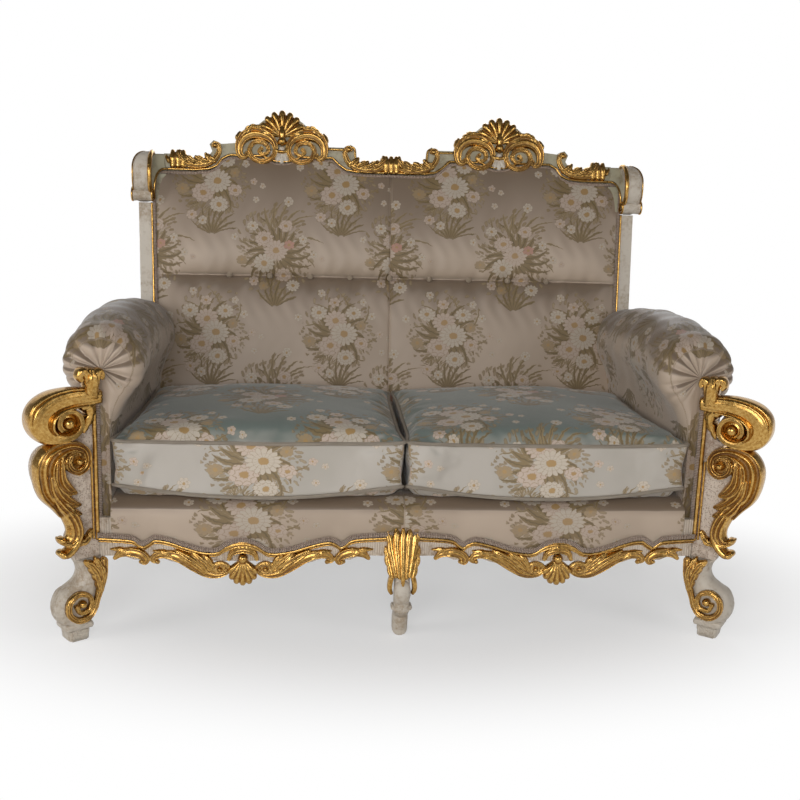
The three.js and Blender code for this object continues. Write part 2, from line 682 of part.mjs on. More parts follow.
function armPad(cutters) {
  const hump = new THREE.SplineCurve(placed(humpShares, 1, 1));
  const stations = domeShares.map((share) => [
    armFrontY + armDomeDepth * (1 - share),
    armDomeDepth * (1 - Math.sqrt(1 - share ** 2)),
  ]);
  const straightY = armFrontY + armDomeDepth;
  for (let i = 1; i <= straightStepCount; i += 1) {
    stations.push([straightY + ((armRearY - straightY) * i) / straightStepCount, 0]);
  }
  const rings = stations.map(([y, inset]) => {
    const centreZ = rollZ + rollHump * hump.getPoint((y - armFrontY) / (armRearY - armFrontY)).y;
    const shrink = 1 - inset / rollRadius;
    return armSection(armFaceX * seatTaper(y), centreZ).map((p) => {
      const height = p.y <= armFoot ? p.y : centreZ + (p.y - centreZ) * shrink;
      return new THREE.Vector3(rollX + (p.x - rollX) * shrink, y, height);
    });
  });
  const middle = (ring) => ring.reduce((sum, p) => sum.add(p), new THREE.Vector3()).divideScalar(ring.length);
  const whole = solidOf(skin(rings, middle(rings[0]), middle(rings.at(-1))));
  return cutters.reduce((rest, cutter) => rest.subtract(cutter), whole);
}

// What the arm upholstery is cut back for: the seat rails, the post, the stile and the back pad
function armCutters() {
  const far = overrun;
  const seat = boxBetween([-far, -far, -far], [sideRailX + sideRailThick + fitGap, far, railTop + fitGap]);
  const postInner = postInnerShare * scrollReach - fitGap;
  const post = boxBetween([postInner, -far, -far], [far, postThick + fitGap, postTop + fitGap])
    .rotateZ(-cornerTurn * degree)
    .translate(cornerX, frontY, 0);
  const onRake = (low, high) => boxBetween(low, high)
    .rotateX(-backRake * degree)
    .translate(0, backFootY, railTop);
  const outer = stileInnerAt(armTop) + stileWidth + fitGap;
  return [
    seat,
    post,
    onRake([-far, -padBack, -far], [stileInnerAt(railTop), far, far]),
    onRake([-far, -fitGap, -far], [outer, far, far]),
    onRake([-far, armWrapDepth, -far], [far, far, far]),
  ].map(solidOf);
}

// Back posts: a raked stile above the seat and a sabre leg below it, in one piece
function backPost() {
  const top = backFootY + (stileTop - railTop) * Math.tan(backRake * degree);
  const legHeight = railFoot;
  const front = smooth([
    new THREE.Vector2(rearFootY, 0),
    new THREE.Vector2(rearFootY - rearFootDepth * 0.6, legHeight / 3),
    new THREE.Vector2(backFootY + rearFootDepth * 0.9, legHeight * 0.75),
    new THREE.Vector2(backFootY, legHeight),
  ], 8);
  const back = smooth([
    new THREE.Vector2(backFootY + stileFootDepth, railTop),
    new THREE.Vector2(backFootY + stileFootDepth * 1.4, legHeight),
    new THREE.Vector2(rearFootY + rearFootDepth * 0.55, legHeight / 3),
    new THREE.Vector2(rearFootY + rearFootDepth, 0),
  ], 8);
  const outline = [
    ...front,
    new THREE.Vector2(backFootY, railTop),
    new THREE.Vector2(top, stileTop),
    new THREE.Vector2(top + stileTopDepth * rakeCos, stileTop - stileTopDepth * Math.sin(backRake * degree)),
    ...back,
  ];
  const geometry = sideBoard(outline, stileWidth);
  const shear = new THREE.Matrix4().makeShear(0, 0, 0, 0, stileSplayShare, 0);
  return geometry.applyMatrix4(shear).translate(stileInnerX - stileSplayShare * railTop, 0, 0);
}
const stileInnerAt = (height) => stileInnerX + stileSplayShare * (height - railTop);

// Everything on the raked back shares one frame, whose floor is the top of the seat rails
const back = new THREE.Group();
back.position.set(0, backFootY, railTop);
back.rotation.x = -backRake * degree;
sofa.add(back);
const onBack = { right: back, left: back };

// Crest rail: shaped above by its volutes and shells and below by the edge of the back panel
const crestValleyShares = [
  [0, 0.24], [0.3, 0.2], [0.6, 0.17], [0.86, 0.22], [1.02, 0.4], [1.06, 0.68], [1.18, 0.75], [1.3, 0.66],
  [1.8, 0.66],
];
const crestShellEdgeShares = [[-0.98, 0.04], [-0.94, 0.2], [-0.78, 0.36], [-0.58, 0.44], [-0.44, 0.56],
  [-0.26, 0.66], [0, 0.71]];
const crestEndShares = [
  [-0.62, 0.66], [-0.52, 0.72], [-0.39, 0.76], [-0.28, 0.64], [-0.36, 0.45], [-0.24, 0.28], [-0.04, 0.18],
  [0.26, 0.22], [0.5, 0.35], [0.7, 0.34],
];
const crestLowerShares = [[0, -0.07], [0.6, -0.08], [1, -0.07], [1.3, -0.02], [1.5, 0.12], [1.7, 0.31]];
const crestSunShares = [[-0.44, -0.28], [-0.3, -0.34], [-0.14, -0.39], [0, -0.4]];
const crestLowerEndShares = [[-0.84, 0.31], [-0.64, 0.2], [-0.5, 0], [-0.28, -0.1], [0.12, -0.14]];
function crestEdges() {
  const base = rise(crestBase);
  const shellMid = base + crestDepth * 0.66;
  const whole = (shares) => [...shares, ...shares.slice(0, -1).reverse().map(([a, b]) => [-a, b])];
  const upper = [
    ...placed(crestValleyShares, crestDepth, crestDepth, 0, base),
    ...placed(whole(crestShellEdgeShares), crestReach, crestReach, crestX, shellMid),
    ...placed(crestEndShares, crestDepth, crestDepth, shoulderX, base),
  ];
  const lower = [
    ...placed(crestLowerShares, crestDepth, crestDepth, 0, base),
    ...placed(whole(crestSunShares), crestReach, crestReach, crestX, shellMid),
    ...placed(crestLowerEndShares, crestDepth, crestDepth, shoulderX, base),
  ];
  upper.push(new THREE.Vector2(crestEndX, upper.at(-1).y));
  lower.push(new THREE.Vector2(crestEndX, lower.at(-1).y));
  return { upper, lower };
}

function crestRail() {
  const { upper, lower } = crestEdges();
  const right = [...lower, ...upper.reverse()];
  return frontBoard([...right, ...flipped(right).slice(1, -1)], crestThick);
}

// Everything above the lower edge of the crest, to trim the pad that meets it from below
function aboveCrestEdge() {
  const { lower } = crestEdges();
  const outline = [...lower, new THREE.Vector2(overrun, lower.at(-1).y), new THREE.Vector2(overrun, overrun)];
  const whole = [...flipped(outline), ...outline];
  return solidOf(frontBoard(whole, 2 * overrun).translate(0, -overrun, -fitGap));
}

// Crest ornament: a scallop shell over two volutes that turn out into small scrolls
const crestVoluteShares = [
  [0.86, -0.16, 0.04, 0.07], [0.86, -0.27, 0.05, 0.09], [0.97, -0.22, 0.055, 0.1],
  [0.99, 0.02, 0.07, 0.11], [0.84, 0.22, 0.09, 0.12], [0.62, 0.31, 0.09, 0.13], [0.41, 0.28, 0.08, 0.14],
  [0.22, 0.16, 0.06, 0.13], [0.14, -0.06, 0.05, 0.13], [0.22, -0.28, 0.05, 0.13],
  [0.44, -0.38, 0.05, 0.13], [0.66, -0.3, 0.05, 0.13], [0.73, -0.1, 0.045, 0.12],
  [0.63, 0.07, 0.04, 0.12], [0.46, 0.08, 0.04, 0.12], [0.32, -0.02, 0.04, 0.12],
  [0.32, -0.15, 0.04, 0.12], [0.43, -0.22, 0.035, 0.12], [0.51, -0.15, 0.035, 0.12],
  [0.46, -0.09, 0.04, 0.12],
];
const crestShellBones = {
  hub: 0.08, reach: [0.56, 0.55, 0.54, 0.52, 0.5], from: 12, to: 168, count: 9, tip: 0.075, depth: 0.11,
};
const crestGroundShares = [
  [-0.98, -0.2], [-0.86, -0.3], [-0.7, -0.22], [-0.44, -0.4], [0.44, -0.4], [0.7, -0.22], [0.86, -0.3],
  [0.98, -0.2], [0.96, 0.1], [0.62, 0.34], [0.4, 0.5], [0, 0.6], [-0.4, 0.5], [-0.62, 0.34], [-0.96, 0.1],
];
const crestBossShares = [0, 0.08, 0.1, 0.1];
const crestStemShares = [
  [[0, 0.1, 0.05, 0.12], [0, 0.26, 0.08, 0.15], [0, 0.4, 0.04, 0.12]],
  [[-0.14, -0.13, 0.04, 0.1], [0, -0.15, 0.05, 0.12], [0.14, -0.13, 0.04, 0.1]],
];

function crestShell() {
  const seat = { x: crestX, z: rise(crestBase) + crestDepth * 0.66 };
  const volutes = [1, -1].map((flip) =>
    strand(crestVoluteShares, crestReach, { ...seat, flip, sides: 5, steps: 1 }));
  const ground = frontBoard(placed(crestGroundShares, crestReach, crestReach, seat.x, seat.z), carveBack)
    .translate(0, -carveBack, 0);
  const pieces = [
    ...volutes,
    ground,
    ...fan({ ...crestShellBones, size: crestReach, x: seat.x, z: seat.z + crestReach * 0.2 }),
    ball(crestReach, ...crestBossShares, seat),
    ...crestStemShares.map((rows) => strand(rows, crestReach, { ...seat, steps: 1 })),
  ];
  return joined(pieces).subtract(behindFace());
}

// Leaf runs of the crest, each from a small volute down to a clasp
const leafRunShares = [
  [[0.04, 0.62, 0.045, 0.1], [-0.04, 0.68, 0.05, 0.12], [-0.14, 0.62, 0.055, 0.12],
    [-0.16, 0.42, 0.05, 0.1], [-0.06, 0.2, 0.055, 0.1], [0.18, 0.05, 0.06, 0.11], [0.48, 0, 0.07, 0.11],
    [0.78, 0.03, 0.07, 0.11],
    [1.02, 0.12, 0.06, 0.1]],
  [[0.05, 0.12, 0.06, 0.1], [0.16, 0.26, 0.07, 0.12], [0.24, 0.37, 0.04, 0.08]],
  [[0.3, 0.04, 0.06, 0.1], [0.42, 0.16, 0.08, 0.13], [0.54, 0.24, 0.04, 0.08]],
  [[0.6, 0.04, 0.06, 0.1], [0.76, 0.14, 0.08, 0.14], [0.9, 0.3, 0.08, 0.14], [0.94, 0.38, 0.04, 0.08]],
];
const leafBallShares = [-0.04, 0.6, 0.08, 0.07];
const claspShares = [[0, 0, 0.08, 0.12], [0, 0.2, 0.1, 0.16], [0, 0.4, 0.06, 0.1]];
const claspLeafShares = [[0.1, 0.06, 0.05, 0.1], [0.24, 0.14, 0.08, 0.12], [0.33, 0.26, 0.04, 0.08]];
const claspRibSteps = [-0.13, 0, 0.13];

function leafRun(x, flip) {
  const seat = { x, z: rise(crestBase), flip, sides: 5 };
  const size = crestDepth;
  return [
    ...leafRunShares.map((rows) => strand(rows, size, { ...seat, steps: 1 })),
    ball(size, ...leafBallShares, seat),
  ];
}

function clasp(x) {
  const seat = { x, z: rise(crestBase), sides: 5, steps: 1 };
  return claspRibSteps.map((step) =>
    strand(claspShares.map(([a, ...rest]) => [a + step, ...rest]), crestDepth, seat));
}

const leafStartX = 1.18 * crestDepth;
const claspX = crestEndX - 40;
const leafSideX = claspX - crestDepth;

function crestLeafCentre() {
  return joined([...leafRun(leafStartX, -1), ...leafRun(-leafStartX, 1), ...clasp(0)]).subtract(behindFace());
}

function crestLeafSide() {
  const small = strand(claspLeafShares, crestDepth, { x: claspX, z: rise(crestBase), steps: 1, sides: 5 });
  return joined([...leafRun(leafSideX, 1), ...clasp(claspX), small]).subtract(behindFace());
}

// Ears: the crest turns forward at each end and falls in a band that ends in a small roll
const earShares = [
  [0, 0.34], [-0.35, 0.34], [-0.72, 0.2], [-0.95, -0.04], [-1, -0.3], [-0.88, -0.58], [-0.62, -0.78],
  [-0.3, -0.86], [-0.15, -1.0],
];
const cheekTailShares = [[0, -0.08], [-0.2, -0.1], [-0.5, -0.2], [-0.68, -0.36], [-0.78, -0.54]];

function earScroll() {
  const base = rise(crestBase);
  const foot = rise(stileTop) + fitGap;
  const inner = stileInnerAt(stileTop);
  const band = smooth(placed(earShares, earReach, crestDepth, 0, base), 16);
  const profile = [
    new THREE.Vector2(crestThick, band[0].y),
    ...band,
    new THREE.Vector2(band.at(-1).x, foot),
    new THREE.Vector2(crestThick, foot),
  ];
  const block = solidOf(sideBoard(profile, earOuterX - inner).translate(inner, 0, 0));
  const corner = earWidth * 0.755;
  const top = band[0].y;
  const face = frontBoard([
    new THREE.Vector2(inner, foot),
    new THREE.Vector2(earOuterX - fitGap, foot),
    new THREE.Vector2(earOuterX, top - 2 * corner),
    new THREE.Vector2(earOuterX - corner * 0.2, top - corner),
    new THREE.Vector2(earOuterX - corner * 0.6, top - corner * 0.3),
    new THREE.Vector2(earOuterX - corner * 1.2, top),
    new THREE.Vector2(inner, top),
  ], 2 * overrun).translate(0, -overrun, 0);
  // Hollow cheek between the crest and the front edge of the ear
  const tail = smooth(placed(cheekTailShares, earReach, crestDepth, 0, base), 8);
  const cheekProfile = [...band.slice(0, 11), ...tail.reverse()];
  const cheek = solidOf(sideBoard(cheekProfile, inner - crestEndX).translate(crestEndX + fitGap, 0, 0));
  const slope = planBoard([
    new THREE.Vector2(crestEndX + fitGap, 0),
    new THREE.Vector2(inner, -earReach),
    new THREE.Vector2(inner + fitGap, -earReach),
    new THREE.Vector2(inner + fitGap, 0),
  ], 0, overrun);
  const crestEnd = solidOf(boxBetween(
    [crestEndX + fitGap, 0, base - crestDepth * 0.08],
    [inner + fitGap, crestThick, top],
  ));
  const roll = new THREE.CylinderGeometry(earRollRadius, earRollRadius, earOuterX - inner + 2 * fitGap, 12)
    .rotateZ(Math.PI / 2)
    .translate((inner + earOuterX) / 2, -earRollRadius, foot + earRollRadius);
  return block.intersect(solidOf(face))
    .add(cheek.intersect(solidOf(slope)))
    .add(crestEnd)
    .add(solidOf(roll));
}

// Back pad: full above and below a tuck, with buttons along it and a seam down the middle
const pitchHalf = buttonPitch / 2;
const halfColumnCount = 11;
const padRiseShares = [0, 0.06, 0.2, 0.4, 0.52, 0.57, 0.6, 0.64, 0.7, 0.8, 0.92, 1];
const tuckRowIndex = 6;

function padFullness(across, share) {
  const side = 1 - Math.abs(across) ** 5;
  const split = padRiseShares[tuckRowIndex];
  const above = share > split;
  const span = above ? (share - split) / (1 - split) : share / split;
  const swell = above
    ? Math.sin(Math.PI * Math.min(1, span * 1.25) ** 0.55) * 0.9 + 0.1 * (1 - span)
    : 0.55 * Math.sin(Math.PI * Math.min(1, 1 - span) ** 0.6);
  return side * Math.max(0, swell);
}

function backPad() {
  const foot = rise(padFoot);
  const top = rise(crestBase + crestDepth * 0.34);
  const tuck = rise(tuckLine);
  const swellDepth = padBack * 0.9;
  const edgeDepth = padBack * 0.12;
  const heights = padRiseShares.map((share) => {
    const split = padRiseShares[tuckRowIndex];
    return share <= split
      ? foot + ((tuck - foot) * share) / split
      : tuck + ((top - tuck) * (share - split)) / (1 - split);
  });
  const points = [];
  const columns = 2 * halfColumnCount + 3;
  for (let r = 0; r < heights.length; r += 1) {
    const height = railTop + heights[r] * rakeCos;
    const half = stileInnerAt(Math.min(height, stileTop)) - fitGap * 2;
    for (let c = 0; c < columns; c += 1) {
      const step = c - (columns - 1) / 2;
      const x = Math.abs(step) > halfColumnCount ? Math.sign(step) * half : step * pitchHalf;
      const fullness = padFullness(x / half, padRiseShares[r]);
      const seam = step === 0 ? edgeDepth / 2 : 0;
      points.push(new THREE.Vector3(x, edgeDepth - swellDepth * fullness + seam, heights[r]));
    }
  }
  const faces = [];
  const at = (r, c) => r * columns + c;
  for (let r = 0; r + 1 < heights.length; r += 1) {
    for (let c = 0; c + 1 < columns; c += 1) {
      faces.push(at(r, c), at(r, c + 1), at(r + 1, c + 1), at(r, c), at(r + 1, c + 1), at(r + 1, c));
    }
  }
  const rim = [];
  for (let c = 0; c < columns - 1; c += 1) rim.push(at(0, c));
  for (let r = 0; r < heights.length - 1; r += 1) rim.push(at(r, columns - 1));
  for (let c = columns - 1; c > 0; c -= 1) rim.push(at(heights.length - 1, c));
  for (let r = heights.length - 1; r > 0; r -= 1) rim.push(at(r, 0));
  const first = points.length;
  rim.forEach((i) => points.push(new THREE.Vector3(points[i].x, padBack, points[i].z)));
  rim.forEach((corner, i) => {
    const next = (i + 1) % rim.length;
    faces.push(corner, first + i, first + next, corner, first + next, rim[next]);
  });
  const flat = rim.map((corner) => new THREE.Vector2(points[corner].x, points[corner].z));
  THREE.ShapeUtils.triangulateShape(flat, [])
    .forEach(([a, b, c]) => faces.push(first + a, first + c, first + b));
  const geometry = new THREE.BufferGeometry().setFromPoints(points);
  geometry.setIndex(faces);
  return solidOf(geometry).subtract(aboveCrestEdge());
}

const buttonShares = [[0, 0], [1, 0], [1, 0.35], [0.6, 0.85], [0, 1]];

function button(x, cutting) {
  const extra = cutting ? 2 * fitGap : 0;
  const outline = buttonShares.map(([a, b]) =>
    new THREE.Vector2(a * (buttonRadius + (a ? extra : 0)), b * (buttonHeight + 2 * extra) - extra));
  const seatDepth = padBack * 0.12 + buttonHeight * 0.3;
  return new THREE.LatheGeometry(outline, 8)
    .rotateX(Math.PI / 2)
    .translate(x, seatDepth, rise(tuckLine));
}

// Panel that closes the back, set between the stiles behind the pad
function outsideBack() {
  const low = rise(railTop + lowerRailHeight * 0.2) + fitGap;
  const high = rise(crestBase);
  const lowHalf = stileInnerAt(railTop) - 2 * fitGap;
  const highHalf = stileInnerAt(crestBase) - crestDepth * 0.1;
  const outline = [[-lowHalf, low], [lowHalf, low], [highHalf, high], [-highHalf, high]]
    .map(([x, z]) => new THREE.Vector2(x, z));
  return frontBoard(outline, panelThick).translate(0, crestThick + fitGap, 0);
}

function lowerBackRail() {
  const foot = fitGap * 3;
  const half = stileInnerAt(railTop) - 2 * fitGap;
  return boxBetween([-half, 0, foot], [half, padBack, foot + lowerRailHeight]);
}

// Seat cushion: boxed, piped at both edges, crowned on top, with sides drawn in between the pipings
const cushionRows = [
  [0.14, 0, 0], [0.03, 0, 0.02], [0, 0, 0.08], [0.028, 0, 0.2], [0.014, 0, 0.5], [0.028, 0, 0.86],
  [0, 0, 1], [0.03, 0.05, 1], [0.14, 0.5, 1], [0.36, 0.82, 1], [0.62, 0.96, 1],
];
const cornerStepCount = 2;
const sideStepCount = 7;
const sagStartShare = 0.91;
const sagReliefShare = 0.65;

function seatCushion() {
  const low = new THREE.Vector2(cushionGap / 2, cushionFrontY);
  const high = new THREE.Vector2(cushionOuterX, cushionRearY);
  const half = high.clone().sub(low).divideScalar(2);
  const centre = high.clone().add(low).divideScalar(2);
  const edge = [];
  [[1, -1], [1, 1], [-1, 1], [-1, -1]].forEach(([sx, sy], quarter) => {
    for (let i = 0; i <= cornerStepCount; i += 1) {
      const angle = (quarter - 1 + i / cornerStepCount) * (Math.PI / 2);
      edge.push(new THREE.Vector2(
        sx * (half.x - cushionCorner) + cushionCorner * Math.cos(angle),
        sy * (half.y - cushionCorner) + cushionCorner * Math.sin(angle),
      ));
    }
    const next = [[1, 1], [-1, 1], [-1, -1], [1, -1]][quarter];
    const from = edge.at(-1).clone();
    const to = new THREE.Vector2(
      next[0] * (half.x - (quarter % 2 ? cushionCorner : 0)),
      next[1] * (half.y - (quarter % 2 ? 0 : cushionCorner)),
    );
    for (let i = 1; i < sideStepCount; i += 1) edge.push(from.clone().lerp(to, i / sideStepCount));
  });
  const foot = deckTop + fitGap;
  const place = (p, [inset, crown, share]) => {
    const x = p.x * (1 - inset);
    const y = p.y * (1 - inset * (half.x / half.y) * 0.6);
    const forward = Math.max(0, (-y / half.y - sagStartShare) / (1 - sagStartShare));
    const sag = cushionSag * forward * (1 - (x / half.x) ** 2) * (1 - sagReliefShare * share);
    const across = (centre.x + x) * seatTaper(centre.y + y);
    return new THREE.Vector3(across, centre.y + y, foot + cushionHeight * share + cushionCrown * crown - sag);
  };
  const rings = cushionRows.map((row) => edge.map((p) => place(p, row)));
  const tip = (share) => new THREE.Vector3(centre.x, centre.y, foot + share);
  return skin(rings, tip(0), tip(cushionHeight + cushionCrown));
}

// The seat frame
add(sofa, 'front_rail', frontRail(), paint);
const railSolid = solidOf(frontRail());
const rearHalf = sideRailX - fitGap;
const rect = (x0, y0, x1, y1) =>
  [[x0, y0], [x1, y0], [x1, y1], [x0, y1]].map(([x, y]) => new THREE.Vector2(x, y));
const rearEdge = rearRailY + rearRailThick;
const frontEdge = frontY + railThick + fitGap;
add(sofa, 'rear_rail', planBoard(rect(-rearHalf, rearRailY, rearHalf, rearEdge), railFoot, railTop), beech);
const sideRailRear = rearEdge + armWrapDepth * 0.75;
addPair(bothSides, 'side_rail', planBoard(
  rect(sideRailX, frontEdge, sideRailX + sideRailThick, sideRailRear), railFoot, railTop), beech);
add(sofa, 'centre_rail', planBoard(
  rect(-centreRailWidth / 2, frontEdge, centreRailWidth / 2, rearRailY - fitGap), railFoot, railTop), beech);
const blockX = sideRailX - fitGap;
const wedge = (y, way) => [[blockX, y], [blockX - blockLeg, y], [blockX, y + way * blockLeg]]
  .map(([x, z]) => new THREE.Vector2(x, z));
addPair(bothSides, 'front_corner_block', planBoard(wedge(frontEdge, 1).reverse(), railFoot, railTop), beech);
addPair(bothSides, 'rear_corner_block', planBoard(wedge(rearRailY - fitGap, -1), railFoot, railTop), beech);
add(sofa, 'dust_cover', planBoard(
  rect(-sideRailX - sideRailThick, frontEdge, sideRailX + sideRailThick, rearEdge - fitGap),
  railFoot - fitGap - coverThick, railFoot - fitGap), cambric);
add(sofa, 'seat_webbing', seatWebbing(), jute);

// The apron and its carving
const shellSolid = apronShell();
addPair(bothSides, 'apron_scroll_outer', apronScroll(1, shellSolid), gilt);
addPair(bothSides, 'apron_scroll_inner', apronScroll(-1, shellSolid), gilt);
addPair(bothSides, 'apron_shell', geometryOf(shellSolid).translate(0, frontY, 0), gilt);

// The centre leg
const centreLegSolid = solidOf(centreLeg());
add(sofa, 'centre_leg', centreLeg(), paint);
const kneeSolid = centreLegLeaf(centreLegSolid, railSolid);
add(sofa, 'centre_leg_leaf', geometryOf(kneeSolid), gilt);
add(sofa, 'seat_deck', geometryOf(seatDeck(kneeSolid)), brocade);

// The arm fronts and front legs
const postSolid = solidOf(armPost());
addPair(corners, 'arm_post', armPost(), paint);
const voluteSolid = armVolute(postSolid);
addPair(corners, 'arm_volute', geometryOf(voluteSolid), gilt);
const scrollSolid = armLeafScroll(voluteSolid);
addPair(corners, 'arm_leaf_scroll', geometryOf(scrollSolid), gilt);
addPair(corners, 'front_leg', frontLeg(), paint);
addPair(corners, 'front_leg_scroll', legScroll(), gilt);

// The back frame
addPair(bothSides, 'back_post', backPost(), paint);
add(back, 'lower_back_rail', lowerBackRail(), beech);
add(back, 'crest_rail', crestRail(), paint);
addPair(onBack, 'crest_shell', geometryOf(crestShell()), gilt);
add(back, 'crest_leaf_centre', geometryOf(crestLeafCentre()), gilt);
addPair(onBack, 'crest_leaf', geometryOf(crestLeafSide()), gilt);
addPair(onBack, 'ear_scroll', geometryOf(earScroll()), paint);
add(back, 'outside_back', outsideBack(), brocade);

// The upholstery
const firstButtonX = -(buttonPitch * (buttonCount - 1)) / 2;
let padSolid = backPad();
for (let i = 0; i < buttonCount; i += 1) {
  const x = firstButtonX + i * buttonPitch;
  padSolid = padSolid.subtract(solidOf(button(x, true)));
  add(back, `back_button_${i + 1}`, button(x, false), brocade);
}
add(back, 'back_pad', geometryOf(padSolid), brocade);

addPair(bothSides, 'arm_pad', geometryOf(armPad(armCutters())), brocade);
addPair(bothSides, 'seat_cushion', seatCushion(), seatBrocade);

// The origin is the middle of the footprint, on the floor
const extent = new THREE.Box3().setFromObject(sofa, true);
sofa.position.y = -(extent.min.y + extent.max.y) / 2;

export default sofa;
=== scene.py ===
# Cabriole sofa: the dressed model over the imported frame. Metres, +Z up, the front faces -Y.
import math
import random

import bmesh
import bpy
import numpy as np
from mathutils import Matrix, Vector


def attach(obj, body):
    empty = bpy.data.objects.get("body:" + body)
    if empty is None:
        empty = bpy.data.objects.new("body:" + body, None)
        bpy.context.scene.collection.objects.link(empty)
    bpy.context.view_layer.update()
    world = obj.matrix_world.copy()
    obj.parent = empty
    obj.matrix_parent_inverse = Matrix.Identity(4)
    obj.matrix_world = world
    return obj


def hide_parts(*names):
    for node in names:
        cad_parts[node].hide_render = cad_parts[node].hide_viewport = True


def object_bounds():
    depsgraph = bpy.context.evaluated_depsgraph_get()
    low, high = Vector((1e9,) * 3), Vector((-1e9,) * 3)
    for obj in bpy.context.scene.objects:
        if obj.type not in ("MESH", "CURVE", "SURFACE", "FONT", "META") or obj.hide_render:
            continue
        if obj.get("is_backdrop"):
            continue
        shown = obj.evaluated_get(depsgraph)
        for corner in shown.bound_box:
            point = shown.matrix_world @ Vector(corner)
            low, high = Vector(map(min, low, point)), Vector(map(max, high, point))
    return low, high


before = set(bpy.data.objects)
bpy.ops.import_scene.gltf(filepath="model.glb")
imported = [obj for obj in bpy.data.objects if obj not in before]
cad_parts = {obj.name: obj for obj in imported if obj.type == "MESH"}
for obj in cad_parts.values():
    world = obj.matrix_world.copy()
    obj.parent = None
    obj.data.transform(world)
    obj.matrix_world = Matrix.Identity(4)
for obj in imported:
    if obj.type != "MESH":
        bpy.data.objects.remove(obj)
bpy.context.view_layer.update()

# Places that several pieces share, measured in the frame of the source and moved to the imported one
place = {
    "shift": 0.0525, "cornerX": 0.725, "frontY": -0.4, "turn": 35, "rake": 12.55, "backFoot": 0.163,
    "railTop": 0.3, "deckTop": 0.35, "stileInner": 0.655, "splay": 0.033,
    "armFace": 0.69, "armFaceRear": 0.656, "crestBase": 1.1, "stileTop": 0.996, "reach": 0.2,
}
rakeCos = math.cos(math.radians(place["rake"]))
rakeTan = math.tan(math.radians(place["rake"]))
cornerSeat = (Matrix.Translation((place["cornerX"], place["frontY"] + place["shift"], 0))
              @ Matrix.Rotation(math.radians(-place["turn"]), 4, "Z"))
backSeat = (Matrix.Translation((0, place["backFoot"] + place["shift"], place["railTop"]))
            @ Matrix.Rotation(math.radians(-place["rake"]), 4, "X"))
frontSeat = Matrix.Translation((0, place["frontY"] + place["shift"], 0))


def rise(height):
    # Distance up the raked back
    return (height - place["railTop"]) / rakeCos


def stileInnerAt(height):
    return place["stileInner"] + place["splay"] * (height - place["railTop"])


def seatTaper(y):
    # The seat is narrower at its back
    share = (y - place["frontY"]) / (place["backFoot"] - place["frontY"])
    return 1 - (1 - place["armFaceRear"] / place["armFace"]) * share


def smoothStep(low, high, value):
    t = np.clip((value - low) / (high - low), 0, 1)
    return t * t * (3 - 2 * t)


def curveThrough(points, perSpan):
    # Catmull-Rom through rows of any width
    rows = np.array(points, float)
    rows = np.vstack([2 * rows[0] - rows[1], rows, 2 * rows[-1] - rows[-2]])
    made = []
    for i in range(1, len(rows) - 2):
        a, b, c, d = rows[i - 1], rows[i], rows[i + 1], rows[i + 2]
        for t in np.arange(perSpan) / perSpan:
            made.append(0.5 * (2 * b + (c - a) * t + (2 * a - 5 * b + 4 * c - d) * t * t
                               + (3 * b - a - 3 * c + d) * t ** 3))
    made.append(rows[-2])
    return np.array(made)


def meshOf(name, points, faces):
    mesh = bpy.data.meshes.new(name)
    mesh.from_pydata(np.array(points, float).tolist(), [], [[int(i) for i in face] for face in faces])
    return mesh


def addObject(name, data):
    obj = bpy.data.objects.new(name, data)
    bpy.context.scene.collection.objects.link(obj)
    return obj


# Node trees: a wire is one socket, and arithmetic on wires adds Math nodes
class Wire:
    def __init__(self, tree, socket):
        self.tree = tree
        self.socket = socket

    def calc(self, operation, *others, clamp=False):
        return self.tree.calc(operation, self, *others, clamp=clamp)

    def clamped(self, more=0.0):
        return self.calc("ADD", more, clamp=True)

    def __add__(self, other):
        return self.calc("ADD", other)

    def __radd__(self, other):
        return self.tree.calc("ADD", other, self)

    def __sub__(self, other):
        return self.calc("SUBTRACT", other)

    def __rsub__(self, other):
        return self.tree.calc("SUBTRACT", other, self)

    def __mul__(self, other):
        return self.calc("MULTIPLY", other)

    def __rmul__(self, other):
        return self.tree.calc("MULTIPLY", other, self)

    def __truediv__(self, other):
        return self.calc("DIVIDE", other)

    def __pow__(self, other):
        return self.calc("POWER", other)


class Tree:
    def __init__(self, nodeTree):
        self.nodeTree = nodeTree

    def feed(self, socket, value):
        if isinstance(value, Wire):
            self.nodeTree.links.new(value.socket, socket)
        elif isinstance(value, tuple) and len(value) == 3 and len(socket.default_value) == 4:
            socket.default_value = (*value, 1)
        else:
            socket.default_value = value

    def node(self, kind, settings=None, inputs=None, output=0):
        made = self.nodeTree.nodes.new("ShaderNode" + kind)
        for key, value in (settings or {}).items():
            setattr(made, key, value)
        for key, value in (inputs or {}).items():
            self.feed(made.inputs[key], value)
        return made if output is None or not made.outputs else Wire(self, made.outputs[output])

    def calc(self, operation, *values, clamp=False):
        return self.node("Math", {"operation": operation, "use_clamp": clamp}, dict(enumerate(values)))

    def vector(self, operation, *values, output=0):
        return self.node("VectorMath", {"operation": operation}, dict(enumerate(values)), output)

    def scaled(self, value, amount):
        return self.node("VectorMath", {"operation": "SCALE"}, {0: value, "Scale": amount})

    def mix(self, factor, low, high):
        return self.node("Mix", {"data_type": "RGBA"}, {0: factor, 6: low, 7: high}, 2)

    def between(self, value, low, high):
        return self.node("MapRange", {"interpolation_type": "SMOOTHSTEP"}, {0: value, 1: low, 2: high})

    def noise(self, vector, scale, detail=3.0, rough=0.5):
        return self.node("TexNoise", inputs={"Vector": vector, "Scale": scale, "Detail": detail,
                                             "Roughness": rough})

    def attribute(self, name, output="Fac"):
        return self.node("Attribute", {"attribute_name": name}, output=output)

    def spread(self, vector):
        made = self.node("SeparateXYZ", inputs={0: vector}, output=None)
        return [Wire(self, made.outputs[i]) for i in range(3)]


